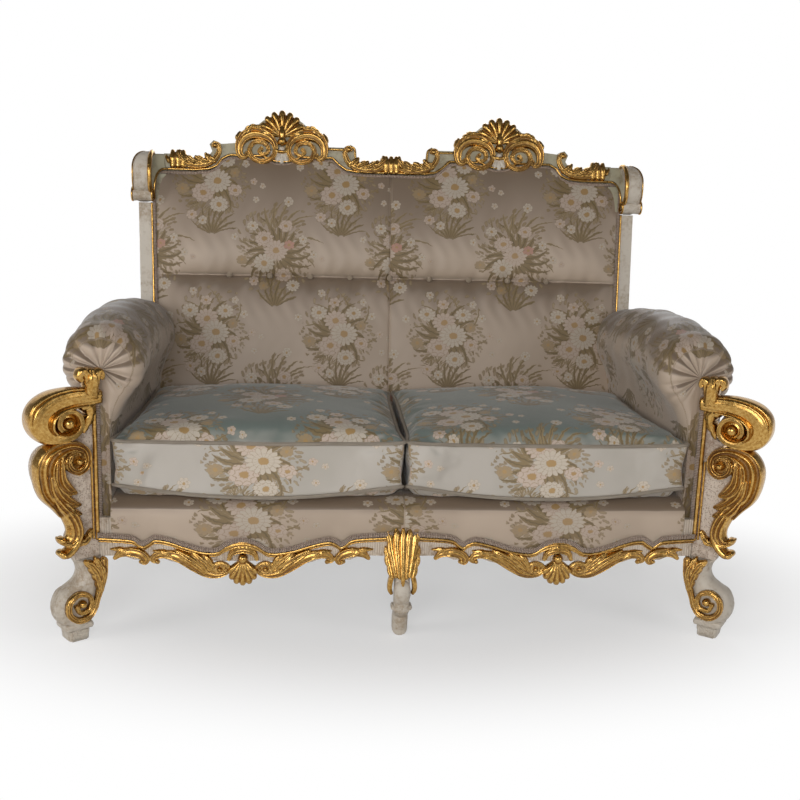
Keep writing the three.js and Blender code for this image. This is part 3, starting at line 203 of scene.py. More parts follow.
class Finish(Tree):
    def __init__(self, name):
        self.material = bpy.data.materials.new(name)
        self.material.use_nodes = True
        super().__init__(self.material.node_tree)
        self.nodeTree.nodes.clear()
        self.where = self.node("TexCoord", output="Object")

    def surface(self, bump=None, bumpHeight=0.001, strength=1.0, **inputs):
        values = {key.replace("_", " "): value for key, value in inputs.items()}
        if bump is not None:
            values["Normal"] = self.node("Bump", inputs={
                "Strength": strength, "Distance": bumpHeight, "Height": bump})
        shader = self.node("BsdfPrincipled", inputs=values)
        self.node("OutputMaterial", inputs={"Surface": shader})
        return self.material


# Brocade: a satin ground with two kinds of bouquet, set in half-drop columns. Sizes in millimetres.
# bloom rows: across, up, radius, petals, tint (0 cream, 1 pink, 2 gold), form (0 open, 1 rose)
bouquetA = {
    "blooms": [
        (-84, -16, 19, 8, 2, 0), (68, -20, 22, 6, 1, 1), (-9, 44, 35, 13, 1, 0), (22, -62, 29, 11, 0, 1),
        (-24, -28, 36, 9, 1, 1), (17, 6, 41, 16, 0, 0), (-58, 66, 25, 11, 0, 0), (44, 66, 24, 11, 0, 0),
        (-12, 96, 18, 6, 1, 0), (72, 98, 11, 5, 0, 0), (98, 58, 12, 5, 0, 0), (-118, 52, 12, 6, 0, 0),
        (-50, 122, 12, 6, 0, 0), (122, 6, 11, 5, 1, 0), (148, -6, 9, 5, 0, 0), (-56, -92, 17, 7, 1, 0),
        (-24, -108, 14, 6, 0, 0), (66, 30, 15, 6, 2, 0),
    ],
    # fan rows: across, up, heading, half spread, strokes, inner radius, outer radius, half width, bend, tone
    "fans": [
        (6, -6, 60, 178, 4.5, 50, 136, 3.0, -0.6, 1), (4, -150, 90, 66, 11, 6, 108, 3.4, 0.35, 0),
        (0, 4, 90, 178, 9, 24, 104, 6.2, 0.5, 0), (-34, -88, 95, 84, 15, 18, 44, 1.7, 0, 1),
    ],
}
bouquetB = {
    "blooms": [
        (-97, -22, 16, 8, 2, 0), (-32, -30, 32, 12, 0, 0), (-32, 38, 29, 10, 1, 1), (24, -62, 25, 9, 1, 1),
        (2, 6, 36, 15, 1, 0), (52, -92, 21, 12, 0, 0), (30, 76, 22, 5, 1, 1), (-66, 74, 18, 8, 0, 0),
        (37, 146, 15, 7, 0, 0), (-118, 42, 11, 5, 0, 0), (-58, 150, 10, 5, 0, 0), (80, 38, 13, 6, 0, 0),
        (112, -4, 11, 5, 0, 0), (136, -16, 9, 5, 1, 0), (-62, -80, 15, 7, 1, 0), (-34, -94, 14, 7, 2, 0),
        (40, 22, 17, 6, 3, 0),
    ],
    "fans": [
        (0, 6, 70, 178, 5, 60, 152, 3.0, 0.5, 1), (0, -158, 90, 58, 10, 6, 98, 3.8, 0.3, 0),
        (0, 0, 90, 178, 9.5, 24, 110, 5.8, -0.45, 0), (4, 40, 84, 50, 9, 30, 112, 4.2, 0.25, 1),
    ],
}
weaving = {"column": 374, "row": 430, "drop": 0.545, "edge": 0.22}


def newGroup(name, entries, exits):
    kinds = {"vector": "NodeSocketVector", "colour": "NodeSocketColor", "number": "NodeSocketFloat"}
    group = bpy.data.node_groups.new(name, "ShaderNodeTree")
    for socket, kind in entries:
        group.interface.new_socket(socket, in_out="INPUT", socket_type=kinds[kind])
    for socket, kind in exits:
        group.interface.new_socket(socket, in_out="OUTPUT", socket_type=kinds[kind])
    tree = Tree(group)
    entry = group.nodes.new("NodeGroupInput")
    return tree, {socket: Wire(tree, entry.outputs[i]) for i, (socket, kind) in enumerate(entries)}


def closeGroup(tree, **values):
    leave = tree.nodeTree.nodes.new("NodeGroupOutput")
    for name, value in values.items():
        tree.nodeTree.links.new(value.socket, leave.inputs[name])
    return tree.nodeTree


figureExits = [("Color", "colour"), ("Mask", "number")]


def fanGroup():
    # Curved leaves that spread from one point
    names = ["Under", "Over", "Point", "Base", "Toward", "Beside", "Half", "Count", "Inner", "Outer", "Width", "Bend",
             "Mask"]
    kinds = ["colour", "colour", "vector", "vector", "vector", "vector"] + ["number"] * 7
    tree, given = newGroup("leafFan", list(zip(names, kinds)), figureExits)
    away = tree.vector("SUBTRACT", given["Point"], given["Base"])
    reach = tree.vector("LENGTH", away, output=1)
    ahead = tree.vector("DOT_PRODUCT", away, given["Toward"], output=1)
    aside = tree.vector("DOT_PRODUCT", away, given["Beside"], output=1)
    swing = aside.calc("ARCTAN2", ahead) + (reach / given["Outer"]) ** 2 * given["Bend"]
    turns = swing * given["Count"]
    stroke = turns.calc("SINE").calc("ABSOLUTE") * reach / given["Count"]
    long = given["Outer"] * ((turns * 2.3).calc("COSINE") * 0.14 + 0.86)
    share = (reach - given["Inner"]) / (long - given["Inner"])
    taper = (share * (1 - share)).calc("MAXIMUM", 0.0).calc("SQRT") * (given["Width"] * 2)
    inFan = ((given["Half"] - swing.calc("ABSOLUTE")) * 30).clamped()
    mask = ((taper - stroke) * 1.6).calc("MULTIPLY", inFan, clamp=True)
    vein = ((stroke - taper * 0.25) * 1.6).clamped(0.3)
    shade = tree.mix(vein, tree.scaled(given["Over"], 0.6), given["Over"])
    return closeGroup(tree, Color=tree.mix(mask, given["Under"], shade), Mask=mask.calc("MAXIMUM", given["Mask"]))


def bloomGroup(form):
    # A round flower: open petals, or the rings of a rose
    names = ["Under", "Over", "Point", "Scale", "Shift", "Radius", "Petals", "Turn", "Mask"]
    kinds = ["colour", "colour", "vector", "vector", "vector"] + ["number"] * 4
    tree, given = newGroup(("openBloom", "rose")[form], list(zip(names, kinds)), figureExits)
    local = tree.vector("MULTIPLY_ADD", given["Point"], given["Scale"], given["Shift"])
    reach = tree.vector("LENGTH", local, output=1)
    a, b = tree.spread(local)[:2]
    wave = (b.calc("ARCTAN2", a) * given["Petals"] + given["Turn"]).calc("COSINE").calc("ABSOLUTE")
    inside = wave * weaving["edge"] + (1 - weaving["edge"]) - reach
    mask = inside.calc("MULTIPLY", given["Radius"] * 1.1, clamp=True)
    rim = ((inside - 0.02) * (given["Radius"] * 0.75)).clamped(0.15)
    if form:
        rim = rim * ((reach * 9 + wave * 1.6).calc("SINE").calc("ABSOLUTE") * 1.9).clamped(0.1)
    else:
        rim = rim * (wave * 2.6).clamped(0.2)
        ring = ((reach - 0.56).calc("ABSOLUTE") * given["Radius"]).calc("MULTIPLY", 0.9, clamp=True)
        rim = rim * (ring * 0.45 + 0.55)
    petal = tree.mix(rim, (0.3, 0.2, 0.12), given["Over"])
    heart = ((0.3 - reach) * (given["Radius"] * 0.6)).clamped()
    petal = tree.mix(heart, petal, (0.42, 0.25, 0.08))
    return closeGroup(tree, Color=tree.mix(mask, given["Under"], petal), Mask=mask.calc("MAXIMUM", given["Mask"]))


def foliageGroup():
    # Small outlined leaves that radiate all round, thinner toward the edge of the bouquet
    tree, given = newGroup("foliage", [("Under", "colour"), ("Point", "vector"), ("Seed", "number"),
                                       ("Wide", "number"), ("Tall", "number"), ("Mask", "number")], figureExits)
    a, b = tree.spread(given["Point"])[:2]
    reach = tree.vector("LENGTH", tree.vector("MULTIPLY", given["Point"], (1, 1, 0)), output=1)
    swing = b.calc("ARCTAN2", a) + reach * 0.004
    cell = tree.node("CombineXYZ", inputs={0: swing * 9, 1: reach / 21 + given["Seed"], 2: 0})
    cells = tree.node("TexVoronoi", {"voronoi_dimensions": "2D"}, {"Vector": cell, "Scale": 1.0, "Randomness": 0.85},
                      output=None)
    away = Wire(tree, cells.outputs["Distance"])
    pick, tone = tree.spread(Wire(tree, cells.outputs["Color"]))[:2]
    wide = (a / given["Wide"]) ** 2 + (b / given["Tall"]) ** 2
    dense = 1.0 - tree.between(wide, 0.3, 1.3)
    mask = ((0.43 - away) * 9).calc("MULTIPLY", ((dense - pick) * 30).clamped(), clamp=True)
    rim = ((0.36 - away) * 8).clamped(0.1)
    shade = tree.mix(rim, (0.13, 0.08, 0.035), tree.mix(tone, (0.23, 0.15, 0.055), (0.36, 0.27, 0.15)))
    return closeGroup(tree, Color=tree.mix(mask, given["Under"], shade),
                      Mask=(mask * 0.85).calc("MAXIMUM", given["Mask"]))


def brocadeGroup():
    fan = fanGroup()
    foliage = foliageGroup()
    forms = [bloomGroup(0), bloomGroup(1)]
    tree, given = newGroup("bouquets", [("Weave", "vector")], [("Color", "colour"), ("Bloom", "number"),
                                                               ("Leaf", "number")])
    warp = tree.node("TexNoise", inputs={"Vector": given["Weave"], "Scale": 0.1, "Detail": 3.0, "Roughness": 0.6},
                     output=1)
    drift = tree.vector("MULTIPLY", tree.vector("SUBTRACT", warp, (0.5, 0.5, 0.5)), (9, 9, 0))
    across, up = tree.spread(tree.vector("ADD", given["Weave"], drift))[:2]
    colour, bloom, leaf = (0.3, 0.22, 0.1), 0.0, 0.0
    tints = [(0.58, 0.50, 0.40), (0.57, 0.45, 0.36), (0.36, 0.25, 0.12), (0.52, 0.25, 0.18)]
    greens = [(0.23, 0.155, 0.06), (0.3, 0.21, 0.095)]

    def figure(group, under, mask, **values):
        made = tree.nodeTree.nodes.new("ShaderNodeGroup")
        made.node_tree = group
        for name, value in {"Under": under, "Mask": mask, **values}.items():
            tree.feed(made.inputs[name], value)
        return Wire(tree, made.outputs[0]), Wire(tree, made.outputs[1])

    # Each figure reads its place through the mask before it, so that few values are alive at once
    for bouquet, offset, drop in ((bouquetA, 0, 0), (bouquetB, 0.5, weaving["drop"])):
        folded = [((value / step - start + 0.5).calc("FRACT") - 0.5) * step
                  for value, step, start in ((across, weaving["column"], offset), (up, weaving["row"], drop))]

        def behind(mask):
            return tree.node("CombineXYZ", inputs={0: folded[0], 1: folded[1], 2: mask})

        colour, leaf = figure(foliage, colour, leaf, Point=behind(leaf), Seed=offset * 9 + 3.0,
                              Wide=112 + offset * 8, Tall=140)
        for x, y, heading, half, count, inner, outer, width, bend, tone in bouquet["fans"]:
            angle = math.radians(heading)
            colour, leaf = figure(
                fan, colour, leaf, Over=greens[tone], Point=behind(leaf), Base=(x, y, 0), Inner=inner, Outer=outer,
                Toward=(math.cos(angle), math.sin(angle), 0), Beside=(-math.sin(angle), math.cos(angle), 0),
                Half=math.radians(half), Count=count, Width=width, Bend=bend)
        for index, (x, y, radius, petals, tint, form) in enumerate(bouquet["blooms"]):
            tall = radius * (0.84 if radius > 15 else 1.0)  # Large blooms are seen a little from the side
            point = behind(bloom if index else leaf)
            colour, bloom = figure(
                forms[form], colour, bloom, Over=tints[tint], Point=point, Scale=(1 / radius, 1 / tall, 0),
                Shift=(-x / radius, -y / tall, 0), Radius=radius, Petals=petals / 2, Turn=index * 0.7)
    return closeGroup(tree, Color=colour, Bloom=bloom, Leaf=leaf)


bouquets = brocadeGroup()


def brocade(name, ground, shade, lift, upFacingShade, turn, tone):
    made = Finish(name)
    weave = made.scaled(made.node("UVMap", {"uv_map": "weave"}), 1000.0)  # Metres to millimetres
    group = made.nodeTree.nodes.new("ShaderNodeGroup")
    group.node_tree = bouquets
    made.feed(group.inputs[0], weave)
    colour, bloom, leaf = [Wire(made, group.outputs[i]) for i in range(3)]
    soft = made.noise(made.where, 5.0, 2.0)
    slub = made.noise(made.vector("MULTIPLY", weave, (0.02, 1.4, 1)), 1.0, 2.0)
    base = made.mix(made.between(soft, 0.35, 0.65), ground, shade)
    # Painted shade and reflection: the satin is mixed toward a darker tint where it faces up, standing in for the dark
    # room it mirrors there
    facing = made.spread(made.node("NewGeometry", output="Normal"))[2]
    base = made.mix(made.between(facing, *turn), base, upFacingShade)
    figure = bloom.calc("MAXIMUM", leaf)
    whole = made.mix(bloom * lift + (1 - bloom) * leaf * 0.88, base, made.scaled(colour, tone))
    across, up = made.spread(weave)[:2]
    twill = (across * 4.2 + up * 4.2).calc("SINE")
    height = twill * 0.12 + slub * 0.5 + made.noise(made.where, 60.0, 2.0) * 0.5
    return made.surface(Base_Color=whole, Roughness=made.between(figure, -0.2, 1.0) * 0.2 + 0.42,
                        Specular_IOR_Level=0.45, Sheen_Weight=0.25, Sheen_Roughness=0.4,
                        bump=height, bumpHeight=0.0006, strength=0.5)


def gilding():
    made = Finish("antiqueGilt")
    hollow = made.attribute("hollow")
    broad = made.noise(made.where, 26.0, 4.0)
    fine = made.noise(made.where, 160.0, 3.0)
    # Dark red-brown, less metallic gilt where the mesh is hollow and where broad noise falls: rubbed wear and patina,
    # and painted shade in the recesses
    wearAndHollowShade = made.between(hollow * 0.8 + broad * 0.45, 0.52, 0.98)
    leaf = made.mix(made.between(fine, 0.3, 0.7), (0.37, 0.195, 0.045), (0.56, 0.35, 0.11))
    colour = made.mix(wearAndHollowShade, leaf, (0.15, 0.065, 0.018))
    return made.surface(Base_Color=colour, Metallic=1 - wearAndHollowShade * 0.85, Roughness=wearAndHollowShade * 0.35 + fine * 0.16 + 0.17,
                        bump=fine + broad, bumpHeight=0.0004, strength=0.25)


def paintwork(name, cream, patina, crackle=0.5, fluted=0.0, stippled=0.0):
    made = Finish(name)
    broad = made.noise(made.where, 9.0, 4.0, 0.6)
    fine = made.noise(made.where, 90.0, 4.0, 0.6)
    stray = made.node("TexNoise", inputs={"Vector": made.where, "Scale": 45.0}, output=1)
    bent = made.vector("ADD", made.where, made.scaled(stray, 0.012))
    cells = made.node("TexVoronoi", {"feature": "DISTANCE_TO_EDGE"}, {"Vector": bent, "Scale": 120.0})
    crack = made.between(cells, 0.05, 0.0) * made.between(broad, 0.5, 0.62) * crackle
    dirtAndDarkHollows = made.between(broad * 0.6 + fine * 0.5, 0.52, 0.72)
    height = fine * 0.4 - crack * 1.2
    if fluted:
        ribs = (made.spread(made.where)[0] * (2 * math.pi / fluted)).calc("SINE").calc("ABSOLUTE")
        height = height + ribs * 2.2
        # The flute grooves are painted darker, on top of the noise dirt
        dirtAndDarkHollows = dirtAndDarkHollows.calc("MAXIMUM", made.between(ribs, 0.5, 0.0) * 0.75)
    if stippled:
        dots = made.node("TexVoronoi", inputs={"Vector": made.where, "Scale": stippled})
        height = height + made.between(dots, 0.15, 0.5) * 2.0
        # The stipple pits are painted darker
        dirtAndDarkHollows = dirtAndDarkHollows.calc("MAXIMUM", made.between(dots, 0.42, 0.2))
    colour = made.mix((dirtAndDarkHollows * 0.7 + crack).clamped(), cream, patina)
    return made.surface(Base_Color=colour, Roughness=fine * 0.25 + 0.38, bump=height,
                        bumpHeight=0.0009, strength=0.6)


def plainCloth(name, warm, cool, scale, rough):
    made = Finish(name)
    a, b, c = made.spread(made.where)
    weft = (a * scale).calc("SINE") * (b * scale).calc("SINE") + (c * scale).calc("SINE")
    mottle = made.noise(made.where, 40.0, 4.0)
    return made.surface(Base_Color=made.mix(mottle, warm, cool), Roughness=mottle * 0.1 + rough,
                        bump=weft + mottle, bumpHeight=0.0006)


def rawWood():
    made = Finish("rawBeech")
    grain = made.noise(made.vector("MULTIPLY", made.where, (3, 60, 60)), 3.0, 5.0, 0.6)
    return made.surface(Base_Color=made.mix(grain, (0.36, 0.22, 0.12), (0.58, 0.40, 0.24)),
                        Roughness=grain * 0.2 + 0.55, bump=grain, bumpHeight=0.0004)


def braid():
    made = Finish("roseGimp")
    strand = (made.attribute("along") * 1500).calc("SINE")
    tone = made.between(made.noise(made.where, 220.0, 3.0) + strand * 0.25, 0.2, 0.85)
    return made.surface(Base_Color=made.mix(tone, (0.2, 0.125, 0.085), (0.46, 0.35, 0.265)), Roughness=0.62,
                        Sheen_Weight=0.3, bump=strand, bumpHeight=0.0012)


finishes = {
    "gilt": gilding(),
    "cream": paintwork("agedCream", (0.52, 0.465, 0.39), (0.3, 0.22, 0.14)),
    "sage": paintwork("agedSage", (0.36, 0.33, 0.23), (0.2, 0.145, 0.08)),
    "apron": paintwork("flutedCream", (0.58, 0.50, 0.41), (0.26, 0.17, 0.10), fluted=0.012),
    "ground": paintwork("stippledCream", (0.56, 0.47, 0.385), (0.2, 0.12, 0.07), stippled=230.0),
    # The fourth colour of each brocade is painted shade for faces that point up; the pair after it is the range of the
    # up-facing normal over which it is mixed in
    "back": brocade("backBrocade", (0.45, 0.355, 0.272), (0.39, 0.305, 0.23), 0.76, (0.17, 0.122, 0.083),
                    (0.08, 0.42), 0.74),
    "seat": brocade("seatBrocade", (0.45, 0.41, 0.36), (0.40, 0.365, 0.315), 0.85, (0.155, 0.185, 0.165),
                    (0.2, 0.9), 0.97),
    "gimp": braid(),
    "wood": rawWood(),
    "jute": plainCloth("juteWeb", (0.30, 0.20, 0.11), (0.38, 0.27, 0.15), 900, 0.85),
    "cambric": plainCloth("blackCambric", (0.016, 0.015, 0.014), (0.028, 0.026, 0.024), 2400, 0.85),
    "piping": plainCloth("pipingSatin", (0.42, 0.36, 0.29), (0.3, 0.25, 0.19), 2600, 0.42),
    "button": plainCloth("buttonSatin", (0.44, 0.35, 0.26), (0.36, 0.28, 0.2), 2600, 0.42),
}
print("finishes made")


def markHollows(mesh, gain=0.0042, rounds=2):
    # How hollow the surface is at each point, from 0 on a crest to 1 in a groove
    count = len(mesh.vertices)
    spots = np.zeros(count * 3)
    facing = np.zeros(count * 3)
    mesh.vertices.foreach_get("co", spots)
    mesh.vertex_normals.foreach_get("vector", facing)
    spots, facing = spots.reshape(-1, 3), facing.reshape(-1, 3)
    ends = np.zeros(len(mesh.edges) * 2, int)
    mesh.edges.foreach_get("vertices", ends)
    first, second = ends.reshape(-1, 2).T
    away = spots[second] - spots[first]
    long = np.maximum((away ** 2).sum(1), 2.5e-7)
    total = np.zeros(count)
    links = np.zeros(count)
    np.add.at(total, first, (facing[first] * away).sum(1) / long)
    np.add.at(total, second, -(facing[second] * away).sum(1) / long)
    np.add.at(links, first, 1)
    np.add.at(links, second, 1)
    links = np.maximum(links, 1)
    bend = total / links
    for _ in range(rounds):
        around = np.zeros(count)
        np.add.at(around, first, bend[second])
        np.add.at(around, second, bend[first])
        bend = 0.5 * bend + 0.5 * around / links
    made = mesh.attributes.new("hollow", "FLOAT", "POINT")
    made.data.foreach_set("value", np.clip(0.4 + bend * gain, 0, 1).astype(np.float32))


def makePiece(name, points, faces, finish, nodes=(), body="frame", weave=None, fill=None, flip=False,
              along=None, smoothed=0):
    points = np.array(points, float).reshape(-1, 3)
    if flip:
        points = points * (-1, 1, 1)
        faces = [list(face)[::-1] for face in faces]
    mesh = meshOf(name, points, faces)
    mesh.update()
    mesh.shade_smooth()
    mesh.materials.append(finishes[finish])
    if weave is not None:
        corners = np.zeros(len(mesh.loops), int)
        mesh.loops.foreach_get("vertex_index", corners)
        cloth = np.array(weave, float)
        if len(cloth) == len(points):
            cloth = cloth[corners]
        layer = mesh.uv_layers.new(name="weave")
        layer.data.foreach_set("uv", cloth.ravel().astype(np.float32))
    if along is not None:
        mesh.attributes.new("along", "FLOAT", "POINT").data.foreach_set("value", np.array(along, np.float32))
    if finish == "gilt":
        markHollows(mesh)
    obj = addObject(name, mesh)
    if smoothed:
        detail = obj.modifiers.new("fine", "SUBSURF")
        detail.levels = detail.render_levels = smoothed
    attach(obj, body)
    if nodes:
        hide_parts(*nodes)


def inSeat(points, seat):
    # Moves points from a local seat, such as the raked back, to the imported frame
    turn = np.array(seat.to_3x3())
    return np.array(points, float) @ turn.T + np.array(seat.translation)


def makePair(name, points, faces, finish, nodes=(), **more):
    # The right piece and its mirrored left one
    for side, flip in (("Right", False), ("Left", True)):
        own = [f"{node}_{side.lower()}" for node in nodes]
        makePiece(name + side, points, faces, finish, own, flip=flip, **more)


def gridFaces(rows, columns, wrapped=False):
    made = []
    for r in range(rows - 1):
        for c in range(columns if wrapped else columns - 1):
            d = (c + 1) % columns
            made.append((r * columns + c, r * columns + d, (r + 1) * columns + d, (r + 1) * columns + c))
    return made


def gridRim(rows, columns):
    # The border of a grid, in order round it
    return ([*range(columns)] + [r * columns + columns - 1 for r in range(1, rows)]
            + [(rows - 1) * columns + c for c in range(columns - 2, -1, -1)]
            + [r * columns for r in range(rows - 2, 0, -1)])


def slab(front, offset):
    # A closed sheet of even thickness behind a grid of points
    rows, columns = front.shape[:2]
    total = rows * columns
    points = np.vstack([front.reshape(-1, 3), front.reshape(-1, 3) + np.array(offset)])
    skin = gridFaces(rows, columns)
    faces = skin + [tuple(k + total for k in face[::-1]) for face in skin]
    edge = gridRim(rows, columns)
    faces += [(i, i + total, edge[(k + 1) % len(edge)] + total, edge[(k + 1) % len(edge)]) for k, i in enumerate(edge)]
    return withNormalsOut(points, faces)


def shellOf(across, up, inside, front, back):
    # A closed skin over the part of a grid that is inside an outline, with the rim slid on to the outline
    step = across[1] - across[0]
    grid = np.stack(np.meshgrid(across, up, indexing="ij"), -1)
    shift = np.zeros_like(grid)
    weight = np.zeros(inside.shape)
    level = np.zeros(inside.shape)
    for dx, dz in ((1, 0), (-1, 0), (0, 1), (0, -1), (1, 1), (1, -1), (-1, 1), (-1, -1)):
        near = np.roll(inside, (-dx, -dz), (0, 1))
        face = np.roll(front, (-dx, -dz), (0, 1))
        crossing = (inside <= 0) & (near > 0)
        share = np.where(crossing, -inside / np.maximum(near - inside, 1e-9), 0)
        shift += np.where(crossing[..., None], share[..., None] * step * np.array([dx, dz]), 0)
        weight += crossing
        level += np.where(crossing, face, 0)
    rim = weight > 0
    grid[rim] += shift[rim] / weight[rim][:, None]
    front = np.where(rim, 0.6 * level / np.maximum(weight, 1) + 0.4 * back, front)
    solid = inside > 0
    cell = solid[:-1, :-1] | solid[1:, :-1] | solid[:-1, 1:] | solid[1:, 1:]
    number = np.arange(inside.size).reshape(inside.shape)
    i, j = np.nonzero(cell)
    quads = np.stack([number[i, j], number[i + 1, j], number[i + 1, j + 1], number[i, j + 1]], 1)
    used, packed = np.unique(quads, return_inverse=True)
    quads = packed.reshape(-1, 4)
    plan = grid.reshape(-1, 2)[used]
    fronts = np.stack([plan[:, 0], front.reshape(-1)[used], plan[:, 1]], 1)
    flat = np.broadcast_to(back, inside.shape).reshape(-1)[used]
    backs = np.stack([plan[:, 0], flat, plan[:, 1]], 1)
    total = len(used)
    sides = np.concatenate([quads[:, [0, 1]], quads[:, [1, 2]], quads[:, [2, 3]], quads[:, [3, 0]]])
    keys = np.sort(sides, 1)
    unique, first, counts = np.unique(keys[:, 0] * total + keys[:, 1], return_index=True, return_counts=True)
    border = sides[first[counts == 1]]
    walls = np.stack([border[:, 1], border[:, 0], border[:, 0] + total, border[:, 1] + total], 1)
    faces = np.vstack([quads, quads[:, ::-1] + total, walls])
    return np.vstack([fronts, backs]), faces.tolist()


def strandOf(rows, size, span=None, x=0.0, z=0.0, flip=1, form="band", lobes=0, scale=1.0):
    # One carved stroke. Rows: across, up, half width, depth, lift, all in shares of the size
    rows = [tuple(row) + (0,) * (5 - len(row)) for row in rows]
    path = curveThrough(rows, 10)
    middle = path[:, :2] * (span or size, size) * (flip, 1) + (x, z)
    run = np.gradient(middle, axis=0)
    run /= np.maximum(np.linalg.norm(run, axis=1), 1e-9)[:, None]
    steps = np.linalg.norm(np.diff(middle, axis=0), axis=1)
    return {"path": middle, "run": run, "width": np.maximum(path[:, 2], 0.01) * size,
            "depth": path[:, 3] * size * scale, "lift": path[:, 4] * size, "form": form, "lobes": lobes,
            "long": np.concatenate([[0], np.cumsum(steps)])}


def strandsOf(table, size, **more):
    return [strandOf(rows, size, form=form, lobes=lobes, **more) for form, lobes, rows in table]


def strandHeight(strand, share, side, where):
    edge = np.sqrt(np.clip(1 - share ** 6, 0, 1))
    if strand["form"] == "band":
        rims = np.exp(-((share - 0.8) / 0.17) ** 2) + 0.55 * np.exp(-(share / 0.3) ** 2)
        shape = 0.58 + 0.42 * np.clip(rims, 0, 1)
    elif strand["form"] == "leaf":
        flutes = np.abs(np.cos(side * share * math.pi * 1.6 + 0.4))
        shape = (0.5 + 0.5 * np.maximum(1 - share, 0) ** 0.7) * (0.72 + 0.28 * flutes) + 0.1
    else:
        shape = 0.35 + 0.65 * np.sqrt(np.clip(1 - share ** 2, 0, 1))
    return strand["lift"][where] + strand["depth"][where] * shape * (0.3 + 0.7 * edge)


def carve(strands, balls=(), step=0.0014):
    # Strokes and round knobs as one relief: the highest of them wins at each point
    corners = np.vstack([s["path"] for s in strands] + [np.array([b[:2] for b in balls]).reshape(-1, 2)])
    most = max([s["width"].max() for s in strands] + [b[2] for b in balls]) + 4 * step
    low, high = corners.min(0) - most, corners.max(0) + most
    across = np.arange(low[0], high[0], step)
    up = np.arange(low[1], high[1], step)
    inside = np.full((len(across), len(up)), -most)
    height = np.zeros(inside.shape)
    for strand in strands:
        reach = strand["width"].max() * 1.05 + 3 * step
        a0, c0 = np.maximum(((strand["path"].min(0) - reach - low) / step).astype(int), 0)
        a1, c1 = ((strand["path"].max(0) + reach - low) / step).astype(int) + 1
        part = (slice(a0, a1), slice(c0, c1))
        dx = across[a0:a1][:, None, None] - strand["path"][:, 0]
        dz = up[c0:c1][None, :, None] - strand["path"][:, 1]
        away = np.sqrt(dx ** 2 + dz ** 2)
        where = (away / strand["width"]).argmin(-1)
        pick = where[..., None]
        dx, dz, away = [np.take_along_axis(v, pick, -1)[..., 0] for v in (dx, dz, away)]
        run = strand["run"][where]
        side = np.sign(run[..., 0] * dz - run[..., 1] * dx)
        wide = strand["width"][where]
        if strand["lobes"]:
            turn = strand["long"][where] / strand["long"][-1] * strand["lobes"] * math.pi
            wide = wide * (0.74 + 0.32 * np.abs(np.sin(turn + 0.5 * side)) ** 0.7)
        share = away / wide
        edge = wide * (1 - share)
        value = strandHeight(strand, share, side, where)
        height[part] = np.where(edge > 0, np.maximum(height[part], value), height[part])
        inside[part] = np.maximum(inside[part], edge)
    for x, z, radius, tall in balls:
        away = np.hypot(across[:, None] - x, up[None, :] - z)
        inside = np.maximum(inside, radius - away)
        dome = tall * (0.35 + 0.65 * np.sqrt(np.clip(1 - (away / radius) ** 2, 0, 1)))
        height = np.where(away < radius, np.maximum(height, dome), height)
    return across, up, inside, height


def carving(name, strands, balls, seat, nodes=(), make=makePair, face=0.0, finish="gilt"):
    across, up, inside, height = carve(strands, balls)
    points, faces = shellOf(across, up, inside, -height, 0.001)
    points[:, 1] += face
    make(name, inSeat(points, seat), faces, finish, nodes)


def fanStrands(bones, size, x, z, form="round"):
    # The ribs of a shell, spread between two angles
    made = []
    count = bones["count"]
    for i in range(count):
        angle = math.radians(bones["from"] + (bones["to"] - bones["from"]) * i / (count - 1))
        long = bones["reach"][int(abs(i - (count - 1) / 2))]
        aim = (math.cos(angle), math.sin(angle))
        tip, hub, depth = bones["tip"], bones["hub"], bones["depth"]
        rows = [(hub, tip / 3, depth * 0.6), (hub + (long - hub) * 0.55, tip * 0.72, depth),
                (long - tip * 0.6, tip * 0.96, depth * 0.95), (long, tip * 0.6, depth * 0.7)]
        made.append(strandOf([(aim[0] * r, aim[1] * r, w, d) for r, w, d in rows], size, x=x, z=z, form=form))
    return made


def boardShell(outline, thick, rounding, step=0.003):
    # A board whose edges are rounded back from its outline; its front face is at y = 0
    outline = np.array(outline, float)
    low, high = outline.min(0) - 3 * step, outline.max(0) + 3 * step
    across = np.arange(low[0], high[0], step)
    up = np.arange(low[1], high[1], step)
    away = np.full((len(across), len(up)), 9.0)
    crossings = np.zeros(away.shape, int)
    for (x0, z0), (x1, z1) in zip(outline, np.roll(outline, -1, 0)):
        dx, dz = x1 - x0, z1 - z0
        px, pz = across[:, None] - x0, up[None, :] - z0
        t = np.clip((px * dx + pz * dz) / max(dx * dx + dz * dz, 1e-12), 0, 1)
        away = np.minimum(away, np.hypot(px - t * dx, pz - t * dz))
        if z0 != z1:
            spans = (up[None, :] >= min(z0, z1)) & (up[None, :] < max(z0, z1))
            crossings += spans & (across[:, None] < x0 + (up[None, :] - z0) * dx / dz)
    inside = np.where(crossings % 2 == 1, away, -away)
    share = np.clip(inside / rounding, 0, 1)
    fall = rounding * (1 - np.sqrt(np.clip(1 - (1 - share) ** 2, 0, 1)))
    fall = np.minimum(fall, thick / 2 - 0.0005)
    return shellOf(across, up, inside, fall, thick - fall)


def boardPair(name, outline, thick, rounding, setBack, seat, finish, nodes=(), step=0.003):
    points, faces = boardShell(outline, thick, rounding, step)
    points[:, 1] += setBack
    makePair(name, inSeat(points, seat), faces, finish, nodes)


